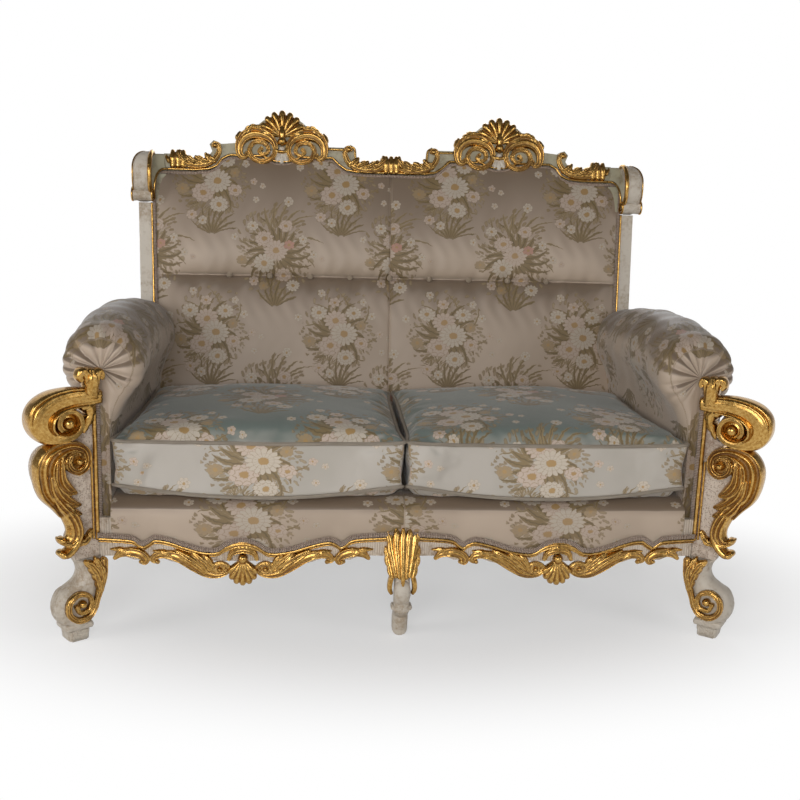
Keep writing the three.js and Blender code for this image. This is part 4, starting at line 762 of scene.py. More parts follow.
def tubeAlong(path, radius, sides=8, squash=1.0, outward=(0, -1, 0), ripple=0.0, pitch=0.01, closed=False):
    path = np.array(path, float)
    run = np.gradient(path, axis=0)
    if closed:
        run = (np.roll(path, -1, 0) - np.roll(path, 1, 0)) / 2
    run /= np.maximum(np.linalg.norm(run, axis=1), 1e-9)[:, None]
    outward = np.broadcast_to(np.array(outward, float), path.shape)
    beside = np.cross(run, outward)
    beside /= np.maximum(np.linalg.norm(beside, axis=1), 1e-9)[:, None]
    stand = np.cross(beside, run)
    long = np.concatenate([[0], np.cumsum(np.linalg.norm(np.diff(path, axis=0), axis=1))])
    girth = radius * (1 + ripple * (np.abs(np.sin(math.pi * long / pitch)) - 0.5))
    angle = np.arange(sides) / sides * 2 * math.pi
    ring = (beside[:, None] * np.cos(angle)[:, None] + stand[:, None] * np.sin(angle)[:, None] * squash)
    points = (path[:, None] + ring * girth[:, None, None]).reshape(-1, 3)
    count = len(path)
    faces = gridFaces(count, sides, wrapped=True)
    if closed:
        faces += [((count - 1) * sides + c, (count - 1) * sides + (c + 1) % sides, (c + 1) % sides, c)
                  for c in range(sides)]
    else:
        faces += [list(range(sides))[::-1], list(range((count - 1) * sides, count * sides))]
    return points, faces, np.repeat(long, sides)


def evenly(path, step):
    # The same path with its points at even distances
    path = np.array(path, float)
    long = np.concatenate([[0], np.cumsum(np.linalg.norm(np.diff(path, axis=0), axis=1))])
    marks = np.linspace(0, long[-1], max(3, int(long[-1] / step)))
    return np.stack([np.interp(marks, long, path[:, k]) for k in range(path.shape[1])], 1)


def trim(name, path, radius, finish, seat=Matrix(), make=makePair, step=0.003, outward=(0, -1, 0), **shape):
    # A bead, cord or gimp laid along a path
    outward = np.array(seat.to_3x3()) @ np.array(outward, float)
    path = evenly(inSeat(path, seat), step)
    points, faces, along = tubeAlong(path, radius, outward=outward, **shape)
    make(name, *withNormalsOut(points, faces), finish, along=along)


def sweepStrand(rows, size, seat, grooves=3, sides=26, perSpan=6, lobes=0):
    # A carved band in the round: its front is grooved along its length
    rows = [tuple(row) + (0,) * (5 - len(row)) for row in rows]
    path = curveThrough(rows, perSpan)
    middle = path[:, [0, 4, 1]] * (size, -size, size)
    run = np.gradient(middle[:, [0, 2]], axis=0)
    run /= np.maximum(np.linalg.norm(run, axis=1), 1e-9)[:, None]
    wide = np.maximum(path[:, 2], 0.012) * size
    if lobes:
        wide = wide * (0.75 + 0.35 * np.abs(np.sin(np.linspace(0, lobes * math.pi, len(wide)))))
    deep = path[:, 3] * size
    points = []
    for i in range(len(middle)):
        for j in range(sides):
            angle = (j + 0.5) / sides * 2 * math.pi
            c, s = math.cos(angle), math.sin(angle)
            c = math.copysign(abs(c) ** 0.8, c)
            s = math.copysign(abs(s) ** 0.7, s)
            if s > 0 and grooves:
                s *= 1 - 0.26 * (0.5 + 0.5 * math.cos(c * math.pi * (grooves + 1))) ** 2 * (1 - c * c)
            points.append((middle[i][0] - run[i][1] * c * wide[i], middle[i][1] - s * deep[i],
                           middle[i][2] + run[i][0] * c * wide[i]))
    faces = gridFaces(len(middle), sides, wrapped=True)
    faces += [list(range(sides))[::-1], list(range((len(middle) - 1) * sides, len(middle) * sides))]
    points = inSeat(points, seat)
    return points, faces


def domeAt(centre, radius, seat, tall, rings=8, around=18):
    points = [(centre[0], centre[1] - tall, centre[2])]
    for r in range(1, rings + 1):
        climb = math.pi / 2 * r / rings
        for k in range(around):
            turn = 2 * math.pi * k / around
            points.append((centre[0] + radius * math.sin(climb) * math.cos(turn),
                           centre[1] - tall * math.cos(climb),
                           centre[2] + radius * math.sin(climb) * math.sin(turn)))
    faces = [(0, 1 + k, 1 + (k + 1) % around) for k in range(around)]
    for r in range(rings - 1):
        for k in range(around):
            a = 1 + r * around
            d = (k + 1) % around
            faces.append((a + k, a + around + k, a + around + d, a + d))
    return inSeat(points, seat), faces


def gather(parts):
    # Several shapes as one mesh
    points, faces, start = [], [], 0
    for more, shapes in parts:
        points.append(np.array(more))
        faces += [[start + i for i in face] for face in shapes]
        start += len(more)
    return np.vstack(points), faces


def withNormalsOut(points, faces):
    mesh = meshOf("loose", points, faces)
    shape = bmesh.new()
    shape.from_mesh(mesh)
    bmesh.ops.recalc_face_normals(shape, faces=shape.faces)
    made = [tuple(v.index for v in f.verts) for f in shape.faces]
    shape.free()
    bpy.data.meshes.remove(mesh)
    return points, made


gimpForm = {"squash": 0.55, "ripple": 0.16, "pitch": 0.004}
flatGimp = {"squash": 0.5, "ripple": 0.16, "pitch": 0.004}
print("helpers ready")


def giveFinish(nodes, finish):
    # CAD pieces that are shown as they are
    for node in nodes:
        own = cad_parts[node]
        own.data.materials.clear()
        own.data.materials.append(finishes[finish])


giveFinish(["rear_rail", "side_rail_right", "side_rail_left", "centre_rail", "front_corner_block_right",
            "front_corner_block_left", "rear_corner_block_right", "rear_corner_block_left",
            "lower_back_rail"], "wood")
giveFinish(["dust_cover"], "cambric")
giveFinish(["seat_webbing"], "jute")
giveFinish(["front_rail"], "apron")
giveFinish(["crest_rail"], "sage")
giveFinish(["back_post_right", "back_post_left"], "cream")
giveFinish(["arm_post_right", "arm_post_left"], "ground")
print("frame finished")

# Apron: leaf scrolls either side of a hanging shell, twice across the front
apron = {
    "middle": 0.383, "half": 0.3346, "line": 0.25, "deep": 0.1,
    "strands": [
        ("band", 0, [(0.9, -0.5, 0.05, 0.08), (0.86, -0.39, 0.09, 0.11), (0.79, -0.34, 0.12, 0.14),
                     (0.725, -0.39, 0.12, 0.14), (0.685, -0.5, 0.1, 0.13), (0.69, -0.6, 0.07, 0.12),
                     (0.72, -0.59, 0.05, 0.1)]),
        ("band", 0, [(0.6, -0.6, 0.05, 0.09), (0.635, -0.54, 0.07, 0.1), (0.605, -0.43, 0.09, 0.12),
                     (0.52, -0.41, 0.11, 0.13), (0.44, -0.5, 0.13, 0.15), (0.34, -0.7, 0.14, 0.16),
                     (0.25, -0.87, 0.12, 0.16), (0.17, -0.92, 0.075, 0.15), (0.115, -0.85, 0.06, 0.15),
                     (0.1, -0.74, 0.055, 0.15), (0.135, -0.64, 0.05, 0.15), (0.185, -0.64, 0.05, 0.15),
                     (0.215, -0.73, 0.045, 0.14), (0.2, -0.82, 0.04, 0.14), (0.165, -0.8, 0.04, 0.14)]),
        ("leaf", 0, [(0.27, -0.82, 0.1, 0.14), (0.34, -0.6, 0.13, 0.18), (0.42, -0.42, 0.1, 0.16),
                     (0.48, -0.29, 0.02, 0.08)]),
        ("leaf", 0, [(0.23, -0.76, 0.08, 0.14), (0.28, -0.58, 0.11, 0.17), (0.33, -0.43, 0.08, 0.14),
                     (0.365, -0.33, 0.02, 0.08)]),
        ("leaf", 0, [(0.22, -0.66, 0.06, 0.13), (0.25, -0.52, 0.08, 0.14), (0.28, -0.42, 0.02, 0.08)]),
        ("leaf", 0, [(0.5, -0.46, 0.07, 0.12), (0.56, -0.36, 0.08, 0.13), (0.63, -0.32, 0.02, 0.07)]),
        ("leaf", 0, [(0.8, -0.38, 0.07, 0.12), (0.86, -0.29, 0.07, 0.12), (0.93, -0.28, 0.02, 0.07)]),
    ],
    "balls": [(0.163, -0.76, 0.15, 0.08), (0.163, -0.76, 0.06, 0.17), (0.71, -0.57, 0.05, 0.13),
              (0.605, -0.57, 0.045, 0.12)],
    # Shell ribs: root, lengths from the middle rib out, first and last angle, number, tip width, depth
    "shell": {"hub": 0.06, "reach": [0.64, 0.62, 0.56, 0.47], "from": -134, "to": -46, "count": 7, "tip": 0.088,
              "depth": 0.17},
    "arches": [
        [(-0.62, -0.42, 0.04, 0.06), (-0.42, -0.28, 0.06, 0.1), (-0.2, -0.17, 0.07, 0.12), (0, -0.14, 0.075, 0.13),
         (0.2, -0.17, 0.07, 0.12), (0.42, -0.28, 0.06, 0.1), (0.62, -0.42, 0.04, 0.06)],
        [(-0.33, -0.52, 0.05, 0.1), (-0.25, -0.36, 0.07, 0.13), (0, -0.28, 0.08, 0.15), (0.25, -0.36, 0.07, 0.13),
         (0.33, -0.52, 0.05, 0.1)],
    ],
}
for way, side in ((1, "outer"), (-1, "inner")):
    made = strandsOf(apron["strands"], apron["deep"], span=apron["half"], x=apron["middle"], z=apron["line"], flip=way,
                     scale=0.8)
    knobs = [(apron["middle"] + way * a * apron["half"], apron["line"] + b * apron["deep"], r * apron["deep"],
              h * apron["deep"]) for a, b, r, h in apron["balls"]]
    carving("apronScroll" + side.title(), made, knobs, frontSeat, [f"apron_scroll_{side}"])
made = fanStrands(apron["shell"], apron["deep"], apron["middle"], apron["line"] - apron["deep"] / 2)
made += [strandOf(rows, apron["deep"], x=apron["middle"], z=apron["line"]) for rows in apron["arches"]]
carving("apronShell", made, [(apron["middle"], apron["line"] - 0.05, 0.012, 0.02)], frontSeat, ["apron_shell"])

# Gilt bead and gimp that follow the top of the apron
beadLine = [(0, 0.253), (0.05, 0.251), (0.1, 0.248), (0.125, 0.243), (0.14, 0.231), (0.15, 0.227), (0.16, 0.235),
            (0.18, 0.24), (0.22, 0.231), (0.26, 0.218), (0.3, 0.211), (0.325, 0.213), (0.345, 0.226), (0.365, 0.234),
            (0.385, 0.237), (0.405, 0.234), (0.425, 0.226), (0.445, 0.213), (0.48, 0.214), (0.52, 0.226),
            (0.56, 0.24), (0.59, 0.244), (0.605, 0.235), (0.62, 0.228), (0.64, 0.242), (0.67, 0.246), (0.7, 0.248),
            (0.722, 0.249)]
beadPath = curveThrough(beadLine, 6)
for name, lift, out, radius, finish, shape in (
        ("apronBead", 0, -0.004, 0.0044, "gilt", {"squash": 1.2}),
        ("apronBeadFine", -0.008, -0.001, 0.0018, "gilt", {}),
        ("apronGimp", 0.0085, -0.0085, 0.0042, "gimp", gimpForm),
        ("apronGimpCord", 0.0145, -0.0095, 0.0018, "gimp", {"ripple": 0.4, "pitch": 0.004})):
    path = np.stack([beadPath[:, 0], np.full(len(beadPath), out), beadPath[:, 1] + lift], 1)
    trim(name, path, radius, finish, frontSeat, **shape)
print("apron carved")

# Arm front: a snail volute over a leafy scroll, on a stippled ground
armFront = {
    "volute": [(-0.06, 2.97, 0.08, 0.1, 0.05), (0.1, 2.98, 0.105, 0.13, 0.05), (0.3, 2.985, 0.12, 0.17, 0.03),
               (0.5, 2.94, 0.135, 0.2, 0), (0.63, 2.85, 0.14, 0.21, 0), (0.66, 2.73, 0.135, 0.21, 0),
               (0.61, 2.62, 0.12, 0.2, 0), (0.52, 2.565, 0.085, 0.2, 0), (0.4, 2.545, 0.05, 0.2, 0.01),
               (0.28, 2.58, 0.04, 0.2, 0.02), (0.21, 2.67, 0.035, 0.19, 0.03), (0.225, 2.78, 0.032, 0.18, 0.04),
               (0.3, 2.85, 0.03, 0.17, 0.05), (0.39, 2.85, 0.03, 0.16, 0.06), (0.46, 2.79, 0.03, 0.15, 0.06),
               (0.475, 2.7, 0.028, 0.14, 0.06), (0.43, 2.63, 0.02, 0.12, 0.06)],
    "rims": [[(0.08, 3.075, 0.02, 0.06, 0.08), (0.34, 3.09, 0.024, 0.09, 0.06), (0.58, 3.045, 0.026, 0.11, 0.05),
              (0.725, 2.95, 0.028, 0.11, 0.05), (0.78, 2.82, 0.028, 0.11, 0.05), (0.755, 2.67, 0.026, 0.11, 0.05),
              (0.68, 2.57, 0.024, 0.11, 0.05), (0.56, 2.51, 0.016, 0.08, 0.05)],
             [(0.12, 2.9, 0.014, 0.08, 0.1), (0.3, 2.9, 0.018, 0.1, 0.12), (0.45, 2.87, 0.02, 0.12, 0.12),
              (0.54, 2.79, 0.02, 0.12, 0.12), (0.555, 2.69, 0.02, 0.12, 0.12), (0.5, 2.61, 0.016, 0.1, 0.12)]],
    "frill": [(0.36, 2.92, 0.07, 0.15), (0.2, 2.93, 0.085, 0.16), (0.085, 2.87, 0.08, 0.15),
              (0.07, 2.76, 0.065, 0.13), (0.115, 2.65, 0.05, 0.11), (0.15, 2.56, 0.02, 0.08)],
    "buds": [[(0.06, 3.0, 0.07, 0.1, 0.06), (0.09, 3.12, 0.06, 0.11, 0.08), (0.12, 3.24, 0.06, 0.11, 0.09),
              (0.175, 3.29, 0.05, 0.1, 0.1), (0.21, 3.23, 0.04, 0.09, 0.1), (0.18, 3.19, 0.035, 0.09, 0.1)],
             [(0.05, 3.0, 0.07, 0.1, 0.06), (0.03, 3.12, 0.06, 0.11, 0.08), (0.01, 3.23, 0.055, 0.11, 0.09),
              (-0.035, 3.27, 0.045, 0.1, 0.1), (-0.06, 3.22, 0.035, 0.09, 0.1), (-0.04, 3.19, 0.03, 0.09, 0.1)],
             [(0.06, 2.95, 0.1, 0.1, 0.06), (0.07, 3.1, 0.085, 0.12, 0.1), (0.07, 3.22, 0.065, 0.13, 0.11),
              (0.07, 3.32, 0.035, 0.1, 0.1)]],
    "leaves": [
        ("band", 0, [(0.44, 1.62, 0.03, 0.08), (0.5, 1.76, 0.07, 0.13), (0.6, 1.92, 0.1, 0.16),
                     (0.64, 2.1, 0.115, 0.18), (0.635, 2.26, 0.12, 0.19), (0.56, 2.38, 0.11, 0.19),
                     (0.42, 2.44, 0.08, 0.19), (0.28, 2.44, 0.06, 0.19), (0.17, 2.38, 0.05, 0.19),
                     (0.13, 2.27, 0.045, 0.18), (0.17, 2.17, 0.045, 0.18), (0.26, 2.13, 0.04, 0.18),
                     (0.34, 2.18, 0.038, 0.17), (0.36, 2.27, 0.035, 0.17), (0.31, 2.34, 0.03, 0.17),
                     (0.24, 2.33, 0.028, 0.16)]),
        ("leaf", 0, [(0.44, 2.38, 0.05, 0.14), (0.47, 2.22, 0.08, 0.17), (0.46, 2.05, 0.105, 0.17),
                     (0.38, 1.93, 0.095, 0.15), (0.27, 1.87, 0.03, 0.1)]),
        ("leaf", 0, [(0.55, 2.1, 0.06, 0.16), (0.5, 1.93, 0.1, 0.17), (0.4, 1.8, 0.095, 0.15),
                     (0.28, 1.73, 0.05, 0.11), (0.21, 1.71, 0.02, 0.07)]),
        ("leaf", 0, [(0.52, 1.86, 0.06, 0.14), (0.43, 1.73, 0.09, 0.16), (0.33, 1.64, 0.075, 0.13),
                     (0.21, 1.6, 0.02, 0.08)]),
        ("leaf", 0, [(0.44, 1.74, 0.06, 0.12), (0.34, 1.6, 0.095, 0.15), (0.29, 1.47, 0.1, 0.15),
                     (0.29, 1.36, 0.1, 0.15), (0.36, 1.29, 0.065, 0.14), (0.45, 1.31, 0.04, 0.12),
                     (0.49, 1.35, 0.018, 0.09)]),
        ("round", 0, [(0.24, 1.34, 0.05, 0.12), (0.3, 1.23, 0.06, 0.13), (0.4, 1.15, 0.06, 0.14),
                      (0.47, 1.17, 0.04, 0.12)]),
        ("leaf", 3, [(0.28, 1.24, 0.05, 0.1), (0.16, 1.26, 0.05, 0.1), (0.08, 1.36, 0.03, 0.07)]),
    ],
    "eyes": [(0.345, -0.12, 2.71, 0.075, 0.075), (0.35, 0, 2.71, 0.19, 0.13)],
    "knobs": [(0.25, 2.28, 0.17, 0.09), (0.25, 2.26, 0.06, 0.21), (0.45, 1.33, 0.04, 0.14), (0.44, 1.15, 0.05, 0.15)],
}
reach = place["reach"]
parts = [sweepStrand(armFront["volute"], reach, cornerSeat, grooves=3, sides=34, perSpan=7),
         sweepStrand(armFront["frill"], reach, cornerSeat, grooves=4, sides=24, lobes=5, perSpan=12)]
parts += [sweepStrand(rows, reach, cornerSeat, grooves=2, sides=18) for rows in armFront["buds"]]
parts += [sweepStrand(rows, reach, cornerSeat, grooves=0, sides=12) for rows in armFront["rims"]]
for x, y, z, radius, tall in armFront["eyes"]:
    parts.append(domeAt((x * reach, y * reach, z * reach), radius * reach, cornerSeat, tall * reach))
makePair("armVolute", *withNormalsOut(*gather(parts)), "gilt", ["arm_volute"])
knobs = [tuple(value * reach for value in row) for row in armFront["knobs"]]
carving("armLeafScroll", strandsOf(armFront["leaves"], reach), knobs, cornerSeat, ["arm_leaf_scroll"])
for name, a, out, radius, finish, low, high, shape in (
        ("postBead", -0.001, -0.003, 0.0056, "gilt", 0.247, 0.598, {"squash": 0.9}),
        ("postBeadFine", 0.0085, -0.002, 0.003, "gilt", 0.25, 0.45, {}),
        ("postGimp", -0.0105, 0.001, 0.0065, "gimp", 0.25, 0.612, gimpForm)):
    trim(name, [(a, out, low + (high - low) * t) for t in np.linspace(0, 1, 20)], radius, finish, cornerSeat,
         **shape)
print("arm fronts carved")

# Front legs: rounded S legs on reeded blocks, with a gilt scroll down the front
leg = {
    "outer": [(0.28, 1.0235), (0.22, 0.93), (0.2, 0.83), (0.24, 0.74), (0.34, 0.675), (0.44, 0.625), (0.5, 0.525),
              (0.52, 0.425), (0.5, 0.31), (0.44, 0.22)],
    "foot": [(0.37, 0.18), (0.31, 0.1), (0.19, 0.1), (0.14, 0.18)],
    "inner": [(0.1, 0.25), (0.075, 0.36), (0.025, 0.5), (-0.025, 0.65), (-0.075, 0.825), (-0.13, 1.0235)],
    "knob": (0.235, 0.49, 0.05, 0.09),
    "block": [(0.027, 0.0), (0.073, 0.0), (0.077, 0.031), (0.023, 0.031)],
    "collar": [(0.018, 0.028), (0.083, 0.028), (0.086, 0.036), (0.084, 0.046), (0.018, 0.046), (0.014, 0.036)],
    "thick": 0.07, "step": 0.008, "rounding": 0.026, "blockBack": 0.01, "collarBack": 0.003,
    "reeds": 9, "reed": 0.003, "reedFrom": 0.028, "reedSpan": 0.044, "reedMiddle": 0.051,
    "strands": [
        ("band", 0, [(-0.05, 0.97, 0.05, 0.06), (-0.035, 0.8, 0.05, 0.07), (0, 0.65, 0.045, 0.06),
                     (0.045, 0.52, 0.036, 0.06), (0.085, 0.4, 0.034, 0.065), (0.17, 0.31, 0.036, 0.075),
                     (0.3, 0.3, 0.038, 0.08), (0.4, 0.4, 0.036, 0.08), (0.39, 0.54, 0.034, 0.08),
                     (0.28, 0.62, 0.032, 0.08), (0.16, 0.58, 0.03, 0.08), (0.125, 0.48, 0.028, 0.08),
                     (0.17, 0.4, 0.026, 0.08), (0.27, 0.39, 0.026, 0.08), (0.31, 0.47, 0.026, 0.08)]),
        ("leaf", 4, [(0, 0.62, 0.045, 0.07), (0.035, 0.8, 0.065, 0.09), (0.1, 0.93, 0.06, 0.08),
                     (0.17, 1.0, 0.03, 0.05)]),
        ("leaf", 4, [(0, 0.66, 0.045, 0.07), (-0.01, 0.84, 0.06, 0.1), (0.03, 0.97, 0.04, 0.07),
                     (0.06, 1.03, 0.02, 0.05)]),
    ],
}
outline = np.vstack([curveThrough(leg["outer"], 5), leg["foot"], curveThrough(leg["inner"], 5)])
boardPair("frontLeg", outline * reach, leg["thick"], leg["rounding"], -leg["step"], cornerSeat, "cream", ["front_leg"])
carving("frontLegScroll", strandsOf(leg["strands"], reach), [tuple(value * reach for value in leg["knob"])], cornerSeat,
        ["front_leg_scroll"], face=-leg["step"])
for name, thinner, rounding in (("block", 0.018, 0.004), ("collar", 0.006, 0.007)):
    boardPair("foot" + name.title(), leg[name], leg["thick"] - thinner, rounding, leg[name + "Back"] - leg["step"],
              cornerSeat, "cream", step=0.002)
reeds = []
for k in range(leg["reeds"]):
    a = leg["reedFrom"] + leg["reedSpan"] * (k + 0.5) / leg["reeds"]
    lean = (a - leg["reedMiddle"]) * 0.2
    reeds.append(tubeAlong([(a - lean, 0.0105 - leg["step"], 0.0015), (a + lean * 0.4, 0.009 - leg["step"], 0.027)],
                           leg["reed"], sides=8)[:2])
points, faces = gather(reeds)
makePair("footReeds", inSeat(points, cornerSeat), faces, "cream")

# Centre leg: an S leg under an acanthus knee
centre = {
    "front": [(-0.06, 2.04), (-0.26, 1.8), (-0.36, 1.5), (-0.34, 1.25), (-0.42, 1.05), (-0.42, 0.78), (-0.3, 0.6)],
    "foot": [(-0.1, 0.5), (-0.12, 0.4), (-0.06, 0), (0.3, 0), (0.36, 0.4), (0.32, 0.5)],
    "back": [(0.14, 0.7), (0.06, 0.95), (0.04, 1.3), (0.14, 1.7), (0.32, 2.04)],
    "wide": 0.038, "deep": 0.1, "rounding": 0.015, "kneeLobes": (0, 0, 3, 3, 0),
    "knee": [
        [(0, 2.8, 0.03, 0.1, 0.06), (0, 2.6, 0.08, 0.18, 0.09), (0, 2.3, 0.09, 0.22, 0.15),
         (0, 1.95, 0.07, 0.2, 0.27), (0, 1.64, 0.06, 0.14, 0.4), (0, 1.46, 0.03, 0.08, 0.44)],
        [(0.17, 2.79, 0.03, 0.08, 0.02), (0.15, 2.62, 0.09, 0.16, 0.05), (0.13, 2.3, 0.1, 0.19, 0.12),
         (0.1, 1.95, 0.08, 0.18, 0.25), (0.07, 1.64, 0.06, 0.14, 0.38)],
        [(0.36, 2.7, 0.03, 0.08, 0), (0.31, 2.52, 0.1, 0.14, 0.03), (0.26, 2.25, 0.12, 0.17, 0.09),
         (0.2, 1.95, 0.1, 0.17, 0.21), (0.15, 1.66, 0.07, 0.14, 0.34)],
        [(0.41, 2.3, 0.03, 0.08, 0), (0.36, 2.1, 0.09, 0.12, 0.05), (0.3, 1.85, 0.1, 0.14, 0.15),
         (0.24, 1.6, 0.07, 0.13, 0.26)],
        [(0.24, 1.66, 0.06, 0.14, 0.2), (0.29, 1.48, 0.065, 0.13, 0.24), (0.3, 1.3, 0.06, 0.12, 0.25),
         (0.25, 1.18, 0.04, 0.1, 0.24)],
    ],
    "knob": [(0, 1.54, 0.09, 0.1, 0.3), (0, 1.42, 0.18, 0.16, 0.33), (0, 1.22, 0.205, 0.19, 0.33),
             (0, 1.02, 0.17, 0.16, 0.31), (0, 0.9, 0.07, 0.1, 0.28)],
    "collar": [(-0.24, 0.86, 0.06, 0.14, 0.2), (-0.12, 0.8, 0.08, 0.16, 0.27), (0, 0.78, 0.085, 0.17, 0.29),
               (0.12, 0.8, 0.08, 0.16, 0.27), (0.24, 0.86, 0.06, 0.14, 0.2)],
}
outline = np.vstack([curveThrough(centre["front"], 5), centre["foot"], curveThrough(centre["back"], 5)])
points, faces = boardShell(outline * centre["deep"], centre["wide"], centre["rounding"], 0.0022)
points = np.stack([points[:, 1] - centre["wide"] / 2, points[:, 0] + place["frontY"] + place["shift"],
                   points[:, 2]], 1)
makePiece("centreLeg", *withNormalsOut(points, faces), "cream", ["centre_leg"])
parts = []
for i, rows in enumerate(centre["knee"]):
    for way in ((1,) if i == 0 else (1, -1)):
        turned = [(way * row[0], *row[1:]) for row in rows]
        parts.append(sweepStrand(turned, centre["deep"], frontSeat, grooves=3, sides=24, lobes=centre["kneeLobes"][i],
                                 perSpan=10))
makePiece("centreLegLeaf", *withNormalsOut(*gather(parts)), "gilt", ["centre_leg_leaf"])
parts = [sweepStrand(centre["knob"], centre["deep"], frontSeat, grooves=0),
         sweepStrand(centre["collar"], centre["deep"], frontSeat, grooves=0, lobes=7, perSpan=14)]
makePiece("centreKnob", *withNormalsOut(*gather(parts)), "cream")
# Strips that close the joint between the front rail and the arm posts
joint = [(0.7155, 0.204), (0.7225, 0.204), (0.7225, 0.299), (0.7155, 0.299)]
boardPair("railJoint", joint, 0.026, 0.001, 0.004, frontSeat, "cream")
print("legs made")

# Crest: two shell ornaments, leaf runs between them, gilt lines along the edges of the board
crest = {
    "x": 0.315, "reach": 0.125, "deep": 0.1, "shoulder": 0.549, "end": 0.649, "leafStart": 0.118, "leafSide": 0.509,
    "volute": [(0.8, -0.2, 0.05, 0.07), (0.84, -0.29, 0.06, 0.09), (0.95, -0.24, 0.075, 0.1),
               (0.97, -0.02, 0.1, 0.12), (0.86, 0.17, 0.13, 0.14), (0.64, 0.26, 0.14, 0.15), (0.4, 0.22, 0.12, 0.15),
               (0.22, 0.1, 0.085, 0.14), (0.15, -0.08, 0.065, 0.14), (0.22, -0.29, 0.06, 0.14),
               (0.44, -0.39, 0.06, 0.14), (0.66, -0.31, 0.06, 0.14), (0.74, -0.12, 0.055, 0.13),
               (0.64, 0.04, 0.05, 0.13), (0.47, 0.06, 0.05, 0.13), (0.33, -0.03, 0.05, 0.13),
               (0.32, -0.16, 0.046, 0.13), (0.43, -0.23, 0.042, 0.13), (0.52, -0.16, 0.042, 0.13),
               (0.47, -0.09, 0.05, 0.13)],
    "shell": {"hub": 0.08, "reach": [0.56, 0.55, 0.54, 0.52, 0.5], "from": 10, "to": 170, "count": 9, "tip": 0.082,
              "depth": 0.12},
    "leaves": [
        ("leaf", 4, [(0.9, 0.2, 0.06, 0.1), (0.72, 0.38, 0.08, 0.13), (0.5, 0.42, 0.04, 0.1)]),
        ("leaf", 3, [(0.96, 0.0, 0.05, 0.08), (1.02, 0.16, 0.05, 0.09), (0.96, 0.28, 0.03, 0.06)]),
    ],
    "bar": [(0.14, -0.13, 0.04, 0.1), (0, -0.15, 0.05, 0.12), (-0.14, -0.13, 0.04, 0.1)],
    "stem": [(0, 0.1, 0.05, 0.12), (0, 0.26, 0.08, 0.15), (0, 0.4, 0.04, 0.12)],
    "sun": {"hub": 0.05, "reach": [0.31, 0.3, 0.29, 0.27], "from": -158, "to": -22, "count": 7, "tip": 0.062,
            "depth": 0.07},
    "run": [
        ("band", 0, [(0.02, 0.6, 0.05, 0.12), (-0.05, 0.66, 0.055, 0.13), (-0.14, 0.6, 0.065, 0.13),
                     (-0.15, 0.42, 0.075, 0.12), (-0.04, 0.22, 0.085, 0.13), (0.18, 0.08, 0.095, 0.14),
                     (0.48, 0.03, 0.1, 0.14), (0.78, 0.06, 0.1, 0.14), (1.02, 0.14, 0.08, 0.12)]),
        ("leaf", 2, [(-0.02, 0.16, 0.08, 0.12), (0.12, 0.24, 0.1, 0.14), (0.22, 0.36, 0.05, 0.08)]),
        ("leaf", 2, [(0.18, 0.1, 0.08, 0.12), (0.34, 0.17, 0.12, 0.15), (0.5, 0.27, 0.05, 0.09)]),
        ("leaf", 2, [(0.44, 0.08, 0.09, 0.12), (0.62, 0.14, 0.13, 0.16), (0.78, 0.28, 0.06, 0.1)]),
        ("leaf", 3, [(0.68, 0.1, 0.09, 0.12), (0.86, 0.18, 0.12, 0.17), (0.97, 0.33, 0.1, 0.16),
                     (0.95, 0.42, 0.05, 0.1)]),
    ],
    "clasp": [(0, 0, 0.08, 0.12), (0, 0.2, 0.1, 0.16), (0, 0.4, 0.06, 0.1)],
    "valley": [(0, 0.24), (0.3, 0.2), (0.6, 0.17), (0.86, 0.22), (1.02, 0.4), (1.06, 0.68), (1.18, 0.75),
               (1.3, 0.66), (1.8, 0.66)],
    "endEdge": [(-0.62, 0.66), (-0.52, 0.72), (-0.39, 0.76), (-0.28, 0.64), (-0.36, 0.45), (-0.24, 0.28),
                (-0.04, 0.18), (0.26, 0.22), (0.5, 0.35), (0.7, 0.34)],
    "low": [(0, -0.07), (0.6, -0.08), (1, -0.07), (1.3, -0.02), (1.5, 0.12), (1.7, 0.31)],
    "sunEdge": [(-0.44, -0.28), (-0.3, -0.34), (-0.14, -0.39), (0, -0.4), (0.14, -0.39), (0.3, -0.34),
                (0.44, -0.28)],
    "lowEnd": [(-0.84, 0.31), (-0.64, 0.2), (-0.5, 0), (-0.28, -0.1), (0.12, -0.14)],
}
base = rise(place["crestBase"])
shellMid = base + crest["deep"] * 0.66


def crestPath(parts):
    made = []
    for shares, size, x, z in parts:
        made += [(x + a * size, z + b * size) for a, b in shares]
    return np.array(made)


lowEdge = crestPath([(crest["low"], 0.1, 0, base), (crest["sunEdge"], 0.125, crest["x"], shellMid),
                     (crest["lowEnd"], 0.1, crest["shoulder"], base)])
lowEdge = np.vstack([lowEdge, [(crest["end"] + 0.012, lowEdge[-1, 1])]])


def crestLowAt(x):
    return np.interp(np.abs(x), lowEdge[:, 0], lowEdge[:, 1])


made = []
for way in (1, -1):
    made.append(strandOf(crest["volute"], crest["reach"], x=crest["x"], z=shellMid, flip=way))
    made += strandsOf(crest["leaves"], crest["reach"], x=crest["x"], z=shellMid, flip=way)
made += fanStrands(crest["shell"], crest["reach"], crest["x"], shellMid + crest["reach"] * 0.2)
made += [strandOf(crest[bone], crest["reach"], x=crest["x"], z=shellMid, form="round") for bone in ("bar", "stem")]
carving("crestShell", made, [(crest["x"], shellMid + 0.01, 0.0125, 0.024)], backSeat, ["crest_shell"])
made = fanStrands(crest["sun"], crest["reach"], crest["x"], shellMid - crest["reach"] * 0.08)
carving("crestSun", made, [(crest["x"], shellMid - 0.012, 0.009, 0.012)], backSeat, finish="cream")


def leafRun(x, flip):
    return strandsOf(crest["run"], crest["deep"], x=x, z=base, flip=flip)


def clasp(x):
    return [strandOf([(a + step, *rest) for a, *rest in crest["clasp"]], crest["deep"], x=x, z=base, form="round")
            for step in (-0.15, 0, 0.15)]


